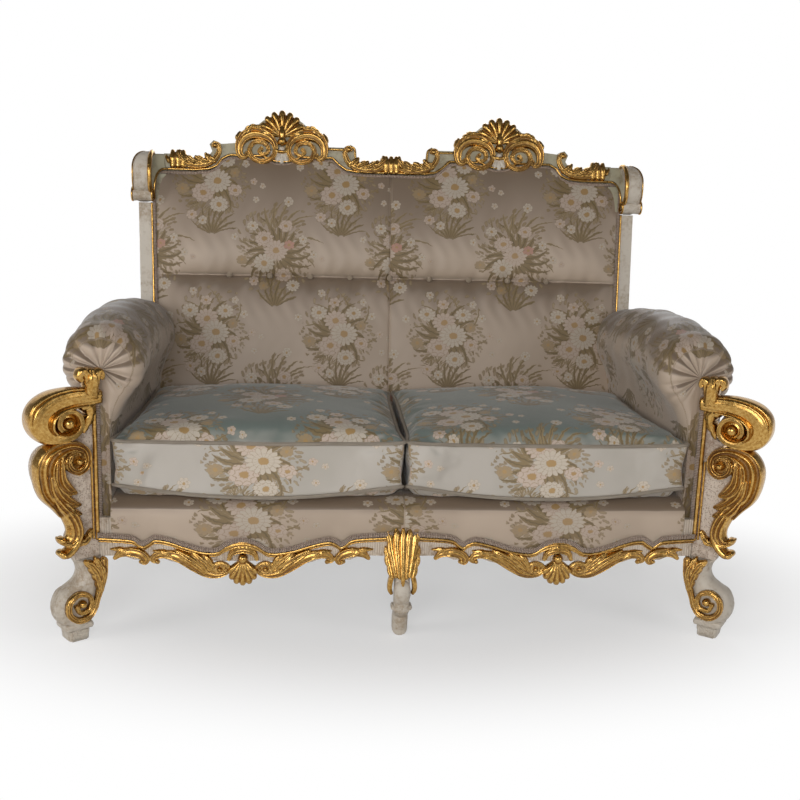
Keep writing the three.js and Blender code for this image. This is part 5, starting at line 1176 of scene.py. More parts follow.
knob = crest["deep"] * 0.07
carving("crestLeafCentre", leafRun(crest["leafStart"], -1) + leafRun(-crest["leafStart"], 1) + clasp(0),
        [(way * (crest["leafStart"] + 0.004), base + 0.06, knob, 0.014) for way in (1, -1)], backSeat,
        ["crest_leaf_centre"], makePiece)
claspX = crest["leafSide"] + crest["deep"]
small = strandOf([(0.1, 0.06, 0.05, 0.1), (0.24, 0.14, 0.08, 0.12), (0.33, 0.26, 0.04, 0.08)], crest["deep"],
                 x=claspX, z=base, form="leaf", lobes=3)
carving("crestLeaf", leafRun(crest["leafSide"], 1) + clasp(claspX) + [small],
        [(crest["leafSide"] - 0.004, base + 0.06, knob, 0.014)], backSeat, ["crest_leaf"])
edge = evenly(lowEdge, 0.004)
for name, lift, out, radius, finish, shape in (
        ("crestBead", 0.004, -0.002, 0.0036, "gilt", {"squash": 1.2}),
        ("crestGimp", -0.006, -0.003, 0.004, "gimp", gimpForm)):
    path = np.stack([edge[:, 0], np.full(len(edge), out), edge[:, 1] + lift], 1)
    trim(name, path, radius, finish, backSeat, **shape)
for name, shares, x, size in (("crestTopLine", crest["valley"], 0, 0.1),
                              ("crestEndLine", crest["endEdge"][5:], crest["shoulder"], 0.1)):
    path = curveThrough([(x + a * size, -0.001, base + b * size - 0.006) for a, b in shares], 6)
    trim(name, path, 0.0034, "gilt", backSeat, squash=1.1)
for name, inset, out, radius, finish, low, shape in (
        ("stileBead", 0.003, -0.002, 0.003, "gilt", 0.68, {"squash": 1.1}),
        ("stileGimp", -0.004, -0.002, 0.004, "gimp", 0.64, gimpForm)):
    high = place["stileTop"] + (0.1 if finish == "gimp" else 0)
    path = [(stileInnerAt(h) + inset, out, rise(h)) for h in np.linspace(low, high, 12)]
    trim(name, path, radius, finish, backSeat, **shape)

# Ears: wings that roll forward on to a scroll, gilt along their rims, with a painted cheek
ear = {"outer": 0.731, "roll": 0.0195, "reach": 0.064, "deep": 0.1, "rounding": 0.012, "middle": -0.03,
       "turnFrom": 0.017, "turnOver": 0.051, "turnBy": 0.6,
       "band": [(0, 0.34), (-0.35, 0.34), (-0.72, 0.2), (-0.95, -0.04), (-1, -0.3), (-0.88, -0.58), (-0.62, -0.78),
                (-0.3, -0.86), (-0.15, -1.0)]}
earInner = stileInnerAt(place["stileTop"])
rollZ = rise(place["stileTop"]) + 0.0003 + ear["roll"]
rim = curveThrough([(-a * ear["reach"], base + b * ear["deep"]) for a, b in ear["band"]], 6)


def earLine(share, stop):
    # The rim of the wing drawn in toward its middle
    middle = np.array([0, base + ear["middle"]])
    return (rim[:stop] - middle) * share + middle


def earTurn(points):
    # The outer corner of the wing is rounded off
    height = np.clip((points[:, 2] - base + ear["turnFrom"]) / ear["turnOver"], 0, 1)
    points[:, 0] = earInner + (points[:, 0] - earInner) * (1 - ear["turnBy"] * (1 - np.sqrt(1 - height ** 2)))
    return points


outline = np.vstack([[(-0.033, base + 0.034)], rim, [(-0.033, rim[-1, 1])]])
points, faces = boardShell(outline, ear["outer"] - earInner, ear["rounding"])
wing = (earTurn(np.stack([earInner + points[:, 1], -points[:, 0], points[:, 2]], 1)), faces)
rollEnds = np.array([(0, 0.3), (0, 0.6), (0.01, 0.86), (0.05, 1), (0.12, 0.97), (0.3, 0.93), (0.5, 0.92), (0.7, 0.93),
                     (0.88, 0.97), (0.95, 1), (0.99, 0.86), (1, 0.6), (1, 0.3)])
wide = ear["outer"] + 0.005 - earInner
spine = [(earInner - 0.002 + t * wide, -ear["roll"], rollZ) for t in rollEnds[:, 0]]
roll = tubeAlong(spine, rollEnds[:, 1] * ear["roll"], sides=40)[:2]
points, faces = withNormalsOut(*gather([wing, roll]))
makePair("ear", inSeat(points, backSeat), faces, "cream", ["ear_scroll"])
board = [(0.64, base - 0.1), (earInner + 0.004, base - 0.1), (earInner + 0.004, base + 0.034), (0.64, base + 0.034)]
boardPair("crestEnd", board, 0.034, 0.002, 0, backSeat, "sage")
earCove = [(0.64, -0.006, -0.012), (0.652, -0.012, -0.013), (0.663, -0.024, -0.027), (0.669, -0.033, -0.05),
           (0.672, -0.03, -0.075), (0.673, -0.012, -0.098)]
inner = evenly(curveThrough(earCove, 6), 0.004) + (0, 0, base)
outer = np.vstack([[(0.64, -0.001, base + 0.032)], [(earInner + 0.003, -a, b) for a, b in earLine(0.975, -5)]])
marks = np.linspace(0, 1, 40)
lines = [evenly(line, 0.002) for line in (inner, outer)]
lines = [np.stack([np.interp(marks * (len(line) - 1), np.arange(len(line)), line[:, k]) for k in range(3)], 1)
         for line in lines]
share = np.linspace(0, 1, 12)[None, :, None]
cove = lines[0][:, None] * (1 - share) + lines[1][:, None] * share
cove[..., 0] += 0.006 * np.sin(math.pi * share[..., 0])
points, faces = slab(cove, (0.006, 0.006, 0))
makePair("earCheek", inSeat(points, backSeat), faces, "sage")
trim("cheekLow", lines[0] + (-0.001, -0.002, 0), 0.003, "gilt", backSeat)
for k, x in enumerate((earInner - 0.001, ear["outer"] + 0.001)):
    for n, share in enumerate((0.92, 0.5)):
        ring = [(x, -ear["roll"] + ear["roll"] * share * math.cos(t), rollZ + ear["roll"] * share * math.sin(t))
                for t in np.linspace(0, 2 * math.pi, 40)]
        trim(f"earRim{k}{n}", ring, 0.0032 - n * 0.0006, "gilt", backSeat, step=0.002, outward=(1, 0, 0))
for name, x, radius in (("earBead", earInner + 0.003, 0.0062), ("earEdge", ear["outer"] - 0.003, 0.0018)):
    path = earTurn(np.array([(x, -a, b) for a, b in earLine(0.985, -3)]))
    trim(name, path, radius, "gilt", backSeat, outward=(1, 0, 0))
print("crest carved")


# Back upholstery: full above and below a buttoned tuck, seamed down the middle
backPad = {"foot": 0.35, "tuck": 0.8, "pitch": 0.115, "buttons": 9, "upper": 0.031, "lower": 0.022, "edge": 0.004,
           "button": 0.0085, "buttonTall": 0.0062, "pull": 0.0085, "fold": 0.0016, "crease": 0.0011, "seam": 0.0042,
           "valley": 0.0035, "sag": 0.0012, "middles": (-0.512, 0.168), "columns": (365, 384), "weaveFoot": 0.341}
columns = np.unique(np.round(np.concatenate([np.linspace(-1, 1, 281), np.linspace(-0.012, 0.012, 13)]), 5))
rowsLow = np.linspace(0, 1, 84)
rowsHigh = np.concatenate([np.linspace(0, 0.12, 16)[1:], np.linspace(0.12, 1, 60)[1:]])
foot, tuck = rise(backPad["foot"]), rise(backPad["tuck"])
levels = [("low", t) for t in rowsLow] + [("high", t) for t in rowsHigh]
points, weave = [], []
for part, t in levels:
    for c in columns:
        guess = foot + t * (tuck - foot) if part == "low" else tuck + t * (0.82 - tuck)
        half = stileInnerAt(min(place["railTop"] + guess * rakeCos, place["stileTop"])) - 0.0006
        x = c * half
        top = crestLowAt(x) - 0.001
        v = foot + t * (tuck - foot) if part == "low" else tuck + t * (top - tuck)
        side = 1 - abs(c) ** 9
        if part == "low":
            swell = backPad["lower"] * max(0.0, math.sin(math.pi * (1 - t) ** 0.5) ** 0.75 if t < 1 else 0.0)
        else:
            swell = backPad["upper"] * max(0.0, math.sin(math.pi * min(1, t) ** 0.62)) ** 0.62
        away = abs(v - tuck)
        atButton = (0.5 + 0.5 * math.cos(2 * math.pi * x / backPad["pitch"])) ** 1.5
        pulls = backPad["pull"] * math.exp(-away / 0.026) * atButton
        folds = (backPad["fold"] * math.exp(-away / 0.05) * math.cos(4 * math.pi * x / backPad["pitch"] + 1.2)
                 + backPad["crease"] * math.exp(-away / 0.07) * math.sin(x * 151 + 3 * math.sin(v * 31)))
        seam = (backPad["seam"] * math.exp(-(x / 0.0032) ** 2)
                + backPad["valley"] * math.exp(-(abs(x) / 0.022) ** 1.3))
        sag = backPad["sag"] * math.sin(x * 9.0 + 1.0) * math.sin(v * 13) * side
        depth = (swell + folds + sag + 0.004 * (1 - math.exp(-away / 0.01))) * side - pulls * side - seam * side
        points.append((x, backPad["edge"] - depth, v))
        panel = 0 if x < 0 else 1  # Each half of the back has its own column of bouquets
        weave.append(((x - backPad["middles"][panel]) * weaving["column"] / backPad["columns"][panel],
                      v - backPad["weaveFoot"]))
width = len(columns)
faces = gridFaces(len(levels), width)
rim = gridRim(len(levels), width)
start = len(points)
for i in rim:
    points.append((points[i][0], 0.034, points[i][2]))
    weave.append(weave[i])
for k, i in enumerate(rim):
    n = (k + 1) % len(rim)
    faces.append((i, start + k, start + n, rim[n]))
makePiece("backPad", inSeat(points, backSeat), faces, "back", ["back_pad"], weave=weave, fill=0.7)
parts = [domeAt(((k - (backPad["buttons"] - 1) / 2) * backPad["pitch"], -0.003, tuck), backPad["button"], backSeat,
                backPad["buttonTall"]) for k in range(backPad["buttons"])]
makePiece("backButtons", *withNormalsOut(*gather(parts)), "button",
          [f"back_button_{k + 1}" for k in range(backPad["buttons"])], fill=1.0)
print("back padded")

# Outside back: a stretched panel, gimped round its edge
outside = {"low": 0.31, "high": 1.1, "face": 0.0403, "swell": 0.006, "rows": 60, "columns": 96}
points, weave = [], []
for t in np.linspace(0, 1, outside["rows"]):
    height = outside["low"] + (outside["high"] - outside["low"]) * t
    half = stileInnerAt(height) - 0.0006 - 0.01 * t
    for c in np.linspace(-1, 1, outside["columns"]):
        puff = outside["swell"] * (1 - abs(c) ** 6) * (1 - abs(2 * t - 1) ** 6)
        points.append((c * half, outside["face"] + puff, rise(height)))
        weave.append((c * half, rise(height)))
faces = [face[::-1] for face in gridFaces(outside["rows"], outside["columns"])]
makePiece("outsideBack", inSeat(points, backSeat), faces, "back", ["outside_back"], weave=weave, fill=0.9)
corners = [(-1, 0), (1, 0), (1, 1), (-1, 1), (-1, 0)]
path = []
for (c0, t0), (c1, t1) in zip(corners[:-1], corners[1:]):
    for s in np.linspace(0, 1, 20, endpoint=False):
        c, t = c0 + (c1 - c0) * s, t0 + (t1 - t0) * s
        height = outside["low"] + (outside["high"] - outside["low"]) * t
        path.append((c * (stileInnerAt(height) - 0.012 - 0.01 * t), outside["face"] + 0.002, rise(height)))
trim("outsideGimp", path + path[:1], 0.006, "gimp", backSeat, makePiece, 0.004, (0, 1, 0), **flatGimp)

# Seat deck: sprung top and a border that turns down to the gimp
deck = {"half": 0.6897, "thick": 0.009, "bulge": 0.0085, "low": 0.009, "crease": 0.001, "shoulder": 0.33,
        "columns": 361, "weave": 425, "middles": (-0.377, 0.38), "weaveFoot": 0.292,
        "top": [(0.15, 0.35)] + [(y, 0.35) for y in np.linspace(0.1, -0.34, 12)]
        + [(-0.358, 0.3495), (-0.37, 0.348), (-0.382, 0.344), (-0.392, 0.3375)]}
gimpX, gimpZ = zip(*[(x, z + deck["low"]) for x, z in beadLine])
points, weave = [], []
face = place["frontY"] - 0.0003
lines = [(y, z, None) for y, z in deck["top"]] + [(None, None, t) for t in np.linspace(0, 1, 15)]
for y, z, t in lines:
    for step in np.linspace(-1, 1, deck["columns"]):
        x = step * deck["half"]
        if t is None:  # The top runs level, then the border turns down
            points.append((x * seatTaper(max(y, place["frontY"])), y + place["shift"], z))
            down = y - place["frontY"]
        else:
            height = deck["shoulder"] + (np.interp(abs(x), gimpX, gimpZ) - deck["shoulder"]) * t
            depth = face - deck["thick"] * 0.5 - deck["bulge"] * math.sin(math.pi * min(1, 0.15 + t * 0.9)) ** 0.8
            depth -= deck["crease"] * math.sin(x * 40 + 2 * math.sin(x * 13)) * t
            points.append((x, depth + place["shift"], height))
            down = 0
        weave.append(((x - deck["middles"][1 if x > 0 else 0]) * weaving["column"] / deck["weave"],
                      points[-1][2] - deck["weaveFoot"] + down))
faces = [face[::-1] for face in gridFaces(len(lines), deck["columns"])]
makePiece("seatDeck", *withNormalsOut(points, faces), "back", ["seat_deck"], weave=weave, fill=0.6)
print("deck made")

# Arm pads: rolls over flat panels, pleated round the arm front
arm = {"outer": 0.746, "foot": 0.222, "radius": 0.095, "rollX": 0.707, "rollZ": 0.653, "hump": 0.024,
       "front": -0.388, "dome": 0.046, "rear": 0.345, "wrap": 0.05, "around": 210, "pleats": 7.5, "pleat": 0.008,
       "fold": 0.009, "ease": 0.0014, "ripple": 0.001, "flatBelow": 0.56, "squareBelow": 0.44, "weaveX": 0.187,
       "weaveZ": 0.62, "weaveY": 0.16, "weaveFoot": 0.05,
       "humpRows": [(0, 0), (0.25, 0.88), (0.5, 0.7), (0.75, -0.3), (1, -1.6)]}
humpCurve = curveThrough(arm["humpRows"], 12)


def armSection(faceX, centreZ):
    # Outline of the pad across the arm: outer wall, roll, inner wall
    def rim(angle):
        turn = math.radians(angle)
        return (arm["rollX"] + arm["radius"] * math.cos(turn), centreZ + arm["radius"] * math.sin(turn))
    rows = [(arm["outer"], arm["foot"]), (arm["outer"], arm["foot"] + (centreZ - arm["foot"]) * 0.35),
            (arm["outer"], arm["foot"] + (centreZ - arm["foot"]) * 0.68)]
    rows += [rim(angle) for angle in range(-48, 216, 12)]
    inner = rim(215)
    lean, drop = faceX - inner[0], place["armFace"] - inner[0]
    rows += [(inner[0] + lean * 0.5, inner[1] - drop * 0.6), (faceX - lean * 0.12, inner[1] - drop * 1.4),
             (faceX, inner[1] - drop * 2.2), (faceX, (inner[1] - drop * 2.2 + arm["foot"]) / 2), (faceX, arm["foot"])]
    return evenly(curveThrough(rows, 4), 0.0068)


def armPad():
    # Stations: depth, inset from the roll, and how far on the front face
    stations = [(arm["front"] + 0.002 * (1 - q), arm["radius"] - (arm["radius"] - arm["dome"]) * q, 1.0 + (1 - q))
                for q in (0.08, 0.2, 0.34, 0.5, 0.66, 0.82)]
    stations += [(arm["front"] + arm["dome"] * (1 - s), arm["dome"] * (1 - math.sqrt(max(0, 1 - s * s))), s)
                for s in (1.0, 0.995, 0.98, 0.95, 0.9, 0.84, 0.76, 0.66, 0.54, 0.4, 0.25, 0.1, 0)]
    stations += [(y, 0, 0) for y in np.linspace(arm["front"] + arm["dome"], arm["rear"], 64)[1:]]
    count = arm["around"]
    points, weave = [], []
    for y, inset, s in stations:
        share = (y - arm["front"]) / (arm["rear"] - arm["front"])
        centreZ = arm["rollZ"] + arm["hump"] * np.interp(share, humpCurve[:, 0], humpCurve[:, 1])
        ring = armSection(place["armFace"] * seatTaper(y), centreZ)
        marks = np.linspace(0, 1, count)
        long = np.concatenate([[0], np.cumsum(np.linalg.norm(np.diff(ring, axis=0), axis=1))])
        ring = np.stack([np.interp(marks * long[-1], long, ring[:, k]) for k in (0, 1)], 1)
        shrink = 1 - inset / arm["radius"]
        for k, (x, z) in enumerate(ring):
            turn = math.atan2(z - centreZ, x - arm["rollX"])
            onRoll = math.exp(-max(0, (centreZ - 0.05 - z)) / 0.03) if z < centreZ - 0.05 else 1
            nearFront = math.exp(-(y - arm["front"]) / 0.055)
            pleat = abs(math.sin(turn * arm["pleats"] + math.sin(turn * 3))) ** 0.7
            puff = (-arm["pleat"] * (1 - pleat) * nearFront * onRoll
                    + arm["ease"] * math.sin(y * 38 + turn * 2.2) * (1 - nearFront) * onRoll
                    + arm["ripple"] * math.sin(y * 81 + z * 47))
            grow = shrink * (1 + puff / arm["radius"])
            px = arm["rollX"] + (x - arm["rollX"]) * grow
            pz = z if z <= arm["foot"] + 0.001 else centreZ + (z - centreZ) * grow
            if z < arm["flatBelow"]:
                square = 1 - smoothStep(arm["squareBelow"], arm["flatBelow"], z)
                edge = 1 - min(inset, 0.006) / arm["radius"]
                px += (arm["rollX"] + (x - arm["rollX"]) * edge - px) * square
                pz += (z - pz) * square
            limit = place["backFoot"] + (pz - place["railTop"]) * rakeTan
            wrap = smoothStep(0.704, 0.722, px)
            fold = arm["fold"] * (1 - pleat) * nearFront * onRoll * min(1, s * 1.4) * min(1, 2.15 - s)
            py = min(y + fold, limit + 0.004 + (arm["wrap"] - 0.004) * wrap)
            points.append((px, py + place["shift"], max(pz, arm["foot"])))
            if s > 0.87:  # The face of the arm front has its own flat weave
                weave.append((px - arm["rollX"] + arm["weaveX"], pz - arm["weaveZ"]))
            else:
                weave.append((y + arm["weaveY"], marks[k] * long[-1] + arm["weaveFoot"]))
    faces = gridFaces(len(stations), count, wrapped=True)
    start = len(points)
    points.append((arm["rollX"], arm["front"] + place["shift"], arm["rollZ"]))
    weave.append((arm["weaveX"], arm["rollZ"] - arm["weaveZ"]))
    faces += [(start, (k + 1) % count, k) for k in range(count)]
    rear = (len(stations) - 1) * count
    points.append((0.72, points[rear + count // 2][1] - 0.001, 0.5))
    weave.append((0.5, 0.5))
    faces += [(start + 1, rear + k, rear + (k + 1) % count) for k in range(count)]
    return withNormalsOut(points, faces) + (weave,)


points, faces, weave = armPad()
makePair("armPad", points, faces, "back", ["arm_pad"], weave=weave, fill=0.75)
path = [(arm["outer"] + 0.002, y + place["shift"], arm["foot"] + 0.004) for y in np.linspace(-0.36, 0.2, 30)]
trim("armLowGimp", path, 0.006, "gimp", step=0.004, outward=(1, 0, 0), **flatGimp)
print("arms padded")

# Seat cushions: boxed and piped, blown up as cloth and left with their creases
cushion = {"gap": 0.003, "outer": 0.684, "front": -0.424, "rear": 0.149, "height": 0.133, "crown": 0.034,
           "corner": 0.012, "sag": 0.016, "piping": 0.0046, "cap": 0.02, "frames": 20, "columns": 70, "rows": 60,
           "sides": 14, "bumps": 14, "waist": 0.006, "lift": 0.013, "liftEnds": 0.022, "onDeck": -0.395,
           "weaveZ": 0.435, "weaveY": 0.1, "topWide": 389, "frontWide": 415,
           "weaveAt": {"Right": (0.14, 0.29, 0.334), "Left": (-0.149, 0.385, -0.354)}}


def cushionMesh(seed):
    # The cushion before it is blown up: top, underside and boxed border
    columns, rows, sides = cushion["columns"], cushion["rows"], cushion["sides"]
    halfX = (cushion["outer"] - cushion["gap"] / 2) / 2
    halfY = (cushion["rear"] - cushion["front"]) / 2
    middle = ((cushion["outer"] + cushion["gap"] / 2) / 2, (cushion["rear"] + cushion["front"]) / 2)
    dice = random.Random(seed)
    bumps = [(dice.uniform(-1, 1), dice.uniform(-1, 1), dice.uniform(0.1, 0.3), dice.uniform(-0.004, 0.005))
             for _ in range(cushion["bumps"])]

    def plan(a, b):
        x, y = a * halfX, b * halfY
        corner = max(0, abs(a) - 0.97) * max(0, abs(b) - 0.964) / (0.03 * 0.036)
        x -= math.copysign(corner * cushion["corner"] * 0.3, a)
        y -= math.copysign(corner * cushion["corner"] * 0.3, b)
        return x, y

    def spot(a, b, share):
        x, y = plan(a, b)
        pull = math.sin(math.pi * share) * cushion["waist"] if max(abs(a), abs(b)) > 0.999 else 0
        x, y = x * (1 - pull / halfX), y * (1 - pull / halfY)
        crown = 0
        if share == 1:
            crown = cushion["crown"] * math.cos(math.pi / 2 * a) ** 0.8 * (1 - abs(b) ** 3) ** 0.8
            crown += sum(h * math.exp(-((a - p) ** 2 + (b - q) ** 2) / r ** 2) for p, q, r, h in bumps) * crown / 0.03
        forward = max(0, (-b - 0.91) / 0.09)
        drop = cushion["sag"] * forward * (1 - a * a) * (1 - 0.65 * share)
        world = (middle[0] + x) * seatTaper(middle[1] + y)
        return (world, middle[1] + y + place["shift"],
                place["deckTop"] + 0.0008 + cushion["height"] * share + crown - drop)

    grid = [(-1 + 2 * i / columns, -1 + 2 * j / rows) for j in range(rows + 1) for i in range(columns + 1)]
    points = [spot(a, b, 1) for a, b in grid] + [spot(a, b, 0) for a, b in grid]
    wide = columns + 1
    total = len(grid)
    border = gridRim(rows + 1, wide)
    faces, kinds = [], []
    for j in range(rows):
        for i in range(columns):
            k = j * wide + i
            faces.append((k, k + 1, k + wide + 1, k + wide))
            kinds.append(0)
            faces.append((total + k, total + k + wide, total + k + wide + 1, total + k + 1))
            kinds.append(0)
    rings = [border]
    for s in range(1, sides):
        ring = []
        for k in border:
            ring.append(len(points))
            points.append(spot(*grid[k], 1 - s / sides))
        rings.append(ring)
    rings.append([total + k for k in border])
    for s in range(sides):
        for n in range(len(border)):
            m = (n + 1) % len(border)
            faces.append((rings[s][m], rings[s][n], rings[s + 1][n], rings[s + 1][m]))
            kinds.append(1)
    return np.array(points), faces, kinds, rings


def blowUp(points, faces, rings):
    # Cloth under pressure, held in at the seams
    mesh = meshOf("clothStart", points, faces)
    obj = addObject("clothStart", mesh)
    group = obj.vertex_groups.new(name="seams")
    group.add([i for ring in (rings[0], rings[-1]) for i in ring], 1.0, "REPLACE")
    cloth = obj.modifiers.new("cloth", "CLOTH")
    own = cloth.settings
    own.quality = 5
    own.mass = 0.3
    own.tension_stiffness = own.compression_stiffness = 18
    own.shear_stiffness = 6
    own.bending_stiffness = 0.6
    own.use_pressure = True
    own.uniform_pressure_force = 4.0
    own.effector_weights.gravity = 0
    own.vertex_group_shrink = "seams"
    own.shrink_min = -0.035
    own.shrink_max = 0.03
    cloth.collision_settings.use_collision = False
    scene = bpy.context.scene
    scene.frame_start, scene.frame_end = 1, cushion["frames"]
    cloth.point_cache.frame_start, cloth.point_cache.frame_end = 1, cushion["frames"]
    for number in range(1, cushion["frames"] + 1):
        scene.frame_set(number)
    done = obj.evaluated_get(bpy.context.evaluated_depsgraph_get())
    moved = np.zeros(len(points) * 3)
    done.data.vertices.foreach_get("co", moved)
    scene.frame_set(1)
    bpy.data.objects.remove(obj)
    bpy.data.meshes.remove(mesh)
    shift = moved.reshape(-1, 3) - points
    far = np.linalg.norm(shift, axis=1)
    share = np.minimum(1, cushion["cap"] / np.maximum(far, 1e-9))
    return points + shift * share[:, None]


# Dents of each cushion front: across, up, lean, length, width, depth
creases = {
    "Right": [(0.105, 0.43, 82, 0.035, 0.006, 0.006), (0.47, 0.43, 78, 0.04, 0.007, 0.008),
              (0.505, 0.44, 70, 0.03, 0.006, 0.007), (0.53, 0.42, 60, 0.03, 0.007, 0.007),
              (0.57, 0.4, 48, 0.035, 0.008, 0.007), (0.25, 0.45, 95, 0.025, 0.008, 0.003)],
    "Left": [(0.12, 0.43, 100, 0.04, 0.007, 0.006), (0.29, 0.44, 80, 0.03, 0.008, 0.005),
             (0.43, 0.42, 105, 0.04, 0.008, 0.005), (0.6, 0.42, 112, 0.035, 0.007, 0.007),
             (0.64, 0.43, 75, 0.03, 0.007, 0.006), (0.2, 0.46, 60, 0.03, 0.008, 0.004)],
}
for side, flip in (("Right", False), ("Left", True)):
    points, faces, kinds, rings = cushionMesh(5 if flip else 3)
    points = blowUp(points, faces, rings)
    # The front of the box lifts off the deck, most at its ends, and its sides meet the other cushion
    nearFront = smoothStep(-0.3, -0.424, points[:, 1] - place["shift"])
    under = np.clip((place["deckTop"] + cushion["height"] - points[:, 2]) / cushion["height"], 0, 1)
    end = (points[:, 0] / cushion["outer"] * 2 - 1) ** 2
    points[:, 2] += nearFront ** 1.5 * under * (cushion["lift"] + cushion["liftEnds"] * end)
    span = points[:, 0].max() - points[:, 0].min()
    points[:, 0] = 0.0006 + (points[:, 0] - points[:, 0].min()) * (cushion["outer"] + 0.002) / span
    resting = (points[:, 1] - place["shift"]) > cushion["onDeck"]
    points[resting, 2] = np.maximum(points[resting, 2], place["deckTop"] + 0.0006)
    frontOf = smoothStep(-0.40, -0.418, points[:, 1] - place["shift"])
    for x, z, lean, long, wide, deep in creases[side]:
        aim = (math.cos(math.radians(lean)), math.sin(math.radians(lean)))
        dx, dz = points[:, 0] - x, points[:, 2] - z
        along = dx * aim[0] + dz * aim[1]
        off = dx * aim[1] - dz * aim[0]
        dent = deep * np.exp(-(off / wide) ** 2 - (along / long) ** 2)
        ridge = 0.35 * deep * np.exp(-((np.abs(off) - 2 * wide) / wide) ** 2 - (along / long) ** 2)
        points[:, 1] += frontOf * (dent - ridge)
    wallX = place["armFace"] * seatTaper(points[:, 1] - place["shift"]) - 0.002
    points[:, 0] = np.clip(points[:, 0], 0.0004, wallX)
    weave = []
    topX, topY, frontX = cushion["weaveAt"][side]
    for face, kind in zip(faces, kinds):
        spots = points[list(face)]
        flat = np.cross(spots[2] - spots[0], spots[3] - spots[1])
        for x, y, z in spots:
            x = -x if flip else x
            y -= place["shift"]
            if kind == 0:
                weave.append(((x - topX) * weaving["column"] / cushion["topWide"], y + topY))
            elif abs(flat[1]) > abs(flat[0]):
                weave.append(((x - frontX) * weaving["column"] / cushion["frontWide"], z - cushion["weaveZ"]))
            else:
                weave.append((y + cushion["weaveY"], z - cushion["weaveZ"]))
    cloth = np.array(weave).reshape(-1, 4, 2)[:, ::-1 if flip else 1].reshape(-1, 2)
    makePiece("seatCushion" + side, points, faces, "seat", [f"seat_cushion_{side.lower()}"],
              body=f"{side.lower()}_cushion", weave=cloth, fill=0.75, flip=flip, smoothed=1)
    for number, ring in enumerate((rings[0], rings[-1])):
        path = points[ring]
        middle = path.mean(0)
        out = path - middle
        out[:, 2] = 0
        out /= np.linalg.norm(out, axis=1)[:, None]
        path = path + out * 0.001
        path = np.array([(path[k] * 2 + path[k - 1] + path[(k + 1) % len(path)]) / 4 for k in range(len(path))])
        if number:
            rear = path[:, 1] - place["shift"] > -0.4
            path[rear, 2] = np.maximum(path[rear, 2], place["deckTop"] + cushion["piping"] + 0.0008)
        tube, skin, _ = tubeAlong(path, cushion["piping"], sides=10, outward=out, closed=True)
        makePiece(f"piping{side}{number}", *withNormalsOut(tube, skin), "piping", body=f"{side.lower()}_cushion",
                  flip=flip)
print("cushions made")

# Room: a pale floor that runs up behind, soft lamps, and the photograph's camera
room = {"floor": 14.0, "rise": 6.0, "wall": 4.0, "bend": 1.2}


def roomFinish():
    made = Finish("paleFloor")
    light = made.node("LightPath", output=None)
    seen = Wire(made, light.outputs["Is Camera Ray"])
    for ray in ("Is Glossy Ray", "Is Transmission Ray"):
        seen = seen.calc("MAXIMUM", Wire(made, light.outputs[ray]))
    mottle = made.noise(made.where, 3.0)
    ground = made.node("BsdfDiffuse", inputs={"Color": made.mix(mottle, (0.86, 0.855, 0.85), (0.89, 0.885, 0.88))})
    glow = made.node("Emission", inputs={"Color": (1.0, 1.0, 1.0), "Strength": 1.0})
    away = made.vector("LENGTH", made.vector("MULTIPLY", made.where, (0.8, 1.35, 0)), output=1)
    factor = seen * (made.between(away, 0.55, 1.25) * 0.55 + 0.45)
    made.node("OutputMaterial", inputs={"Surface": made.node("MixShader", inputs={0: factor, 1: ground, 2: glow})})
    return made.material


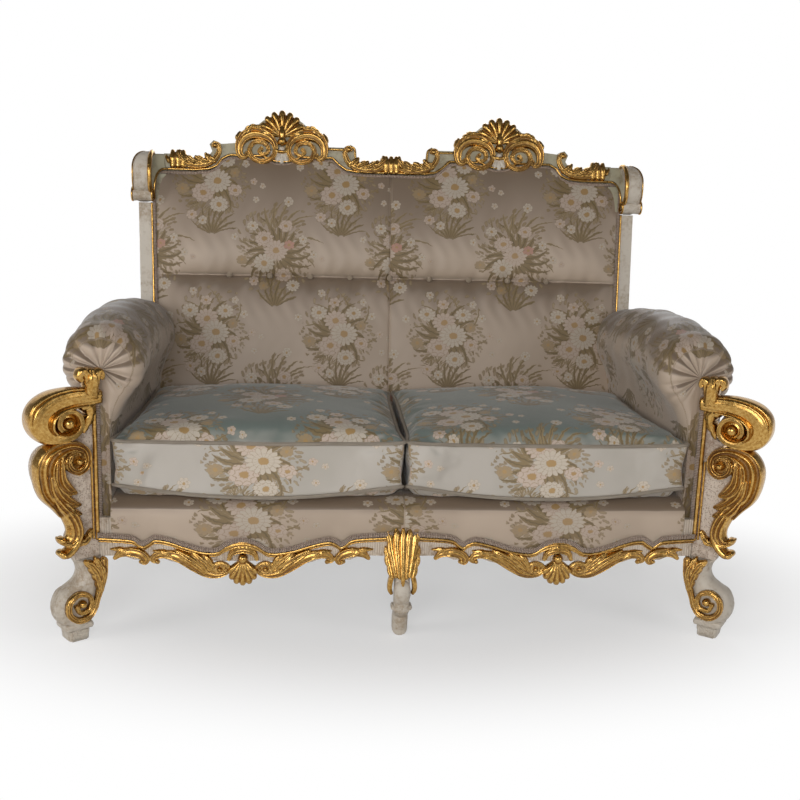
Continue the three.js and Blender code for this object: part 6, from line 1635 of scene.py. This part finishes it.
points = []
profile = [(y, 0.0) for y in (-6.0, -3.0, -1.0, 0.0, 1.0, 2.0, 3.0)]
profile += [(room["wall"] + room["bend"] * math.sin(t), room["bend"] * (1 - math.cos(t)))
            for t in np.linspace(0, math.pi / 2, 9)]
profile.append((room["wall"] + room["bend"], room["rise"]))
for y, z in profile:
    points += [(x, y, z - 0.0004) for x in np.linspace(-room["floor"] / 2, room["floor"] / 2, 9)]
mesh = meshOf("floor", points, gridFaces(len(profile), 9))
mesh.shade_smooth()
mesh.materials.append(roomFinish())
addObject("floor", mesh)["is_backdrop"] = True


def lamp(name, spot, aim, size, power, tall=None):
    data = bpy.data.lights.new(name, "AREA")
    data.shape = "RECTANGLE"
    data.size = size
    data.size_y = tall or size
    data.energy = power
    obj = addObject(name, data)
    obj.location = spot
    obj.rotation_euler = (Vector(aim) - Vector(spot)).to_track_quat("-Z", "Y").to_euler()


lamp("frontLamp", (-0.8, -4.2, 1.7), (0, 0, 0.6), 2.2, 82, 1.4)
lamp("sideLamp", (3.2, -2.6, 1.9), (0, 0, 0.6), 1.4, 20)
lamp("leftLamp", (-3.4, -1.8, 1.8), (0, 0, 0.6), 1.4, 34)
lamp("rearLamp", (0.6, 3.4, 2.6), (0, 0, 0.9), 2.0, 30)

world = bpy.data.worlds.new("paleRoom")
bpy.context.scene.world = world
world.use_nodes = True
sky = Tree(world.node_tree)
world.node_tree.nodes.clear()
light = sky.node("LightPath", output=None)
seen = Wire(sky, light.outputs["Is Camera Ray"])
height = sky.spread(sky.node("TexCoord", output="Generated"))[2]
tone = sky.mix(sky.between(height, -0.3, 0.8), (0.8, 0.78, 0.75), (0.24, 0.24, 0.25))
plain = sky.node("Background", inputs={"Color": tone, "Strength": 0.5})
white = sky.node("Background", inputs={"Color": (1.0, 1.0, 1.0), "Strength": 1.0})
sky.node("OutputWorld", inputs={"Surface": sky.node("MixShader", inputs={0: seen, 1: plain, 2: white})})

camera = {"spot": (-0.236, -2.8645, 1.171), "pitch": 12.89, "yaw": 4.97, "roll": 1.83, "focal": 1104 / 800 * 36}
pitch, yaw, roll = (math.radians(camera[k]) for k in ("pitch", "yaw", "roll"))
ahead = Vector((math.sin(yaw) * math.cos(pitch), math.cos(yaw) * math.cos(pitch), -math.sin(pitch)))
beside = Vector((math.cos(yaw), -math.sin(yaw), 0))
above = beside.cross(ahead)
right = beside * math.cos(roll) + above * math.sin(roll)
top = -beside * math.sin(roll) + above * math.cos(roll)
data = bpy.data.cameras.new("camera")
data.sensor_width = 36
data.lens = camera["focal"]
eye = addObject("camera", data)
eye.matrix_world = Matrix.Translation(camera["spot"]) @ Matrix((right, top, -ahead)).transposed().to_4x4()
bpy.context.scene.camera = eye
bpy.context.scene.view_settings.view_transform = "Standard"

low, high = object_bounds()
print("room ready")
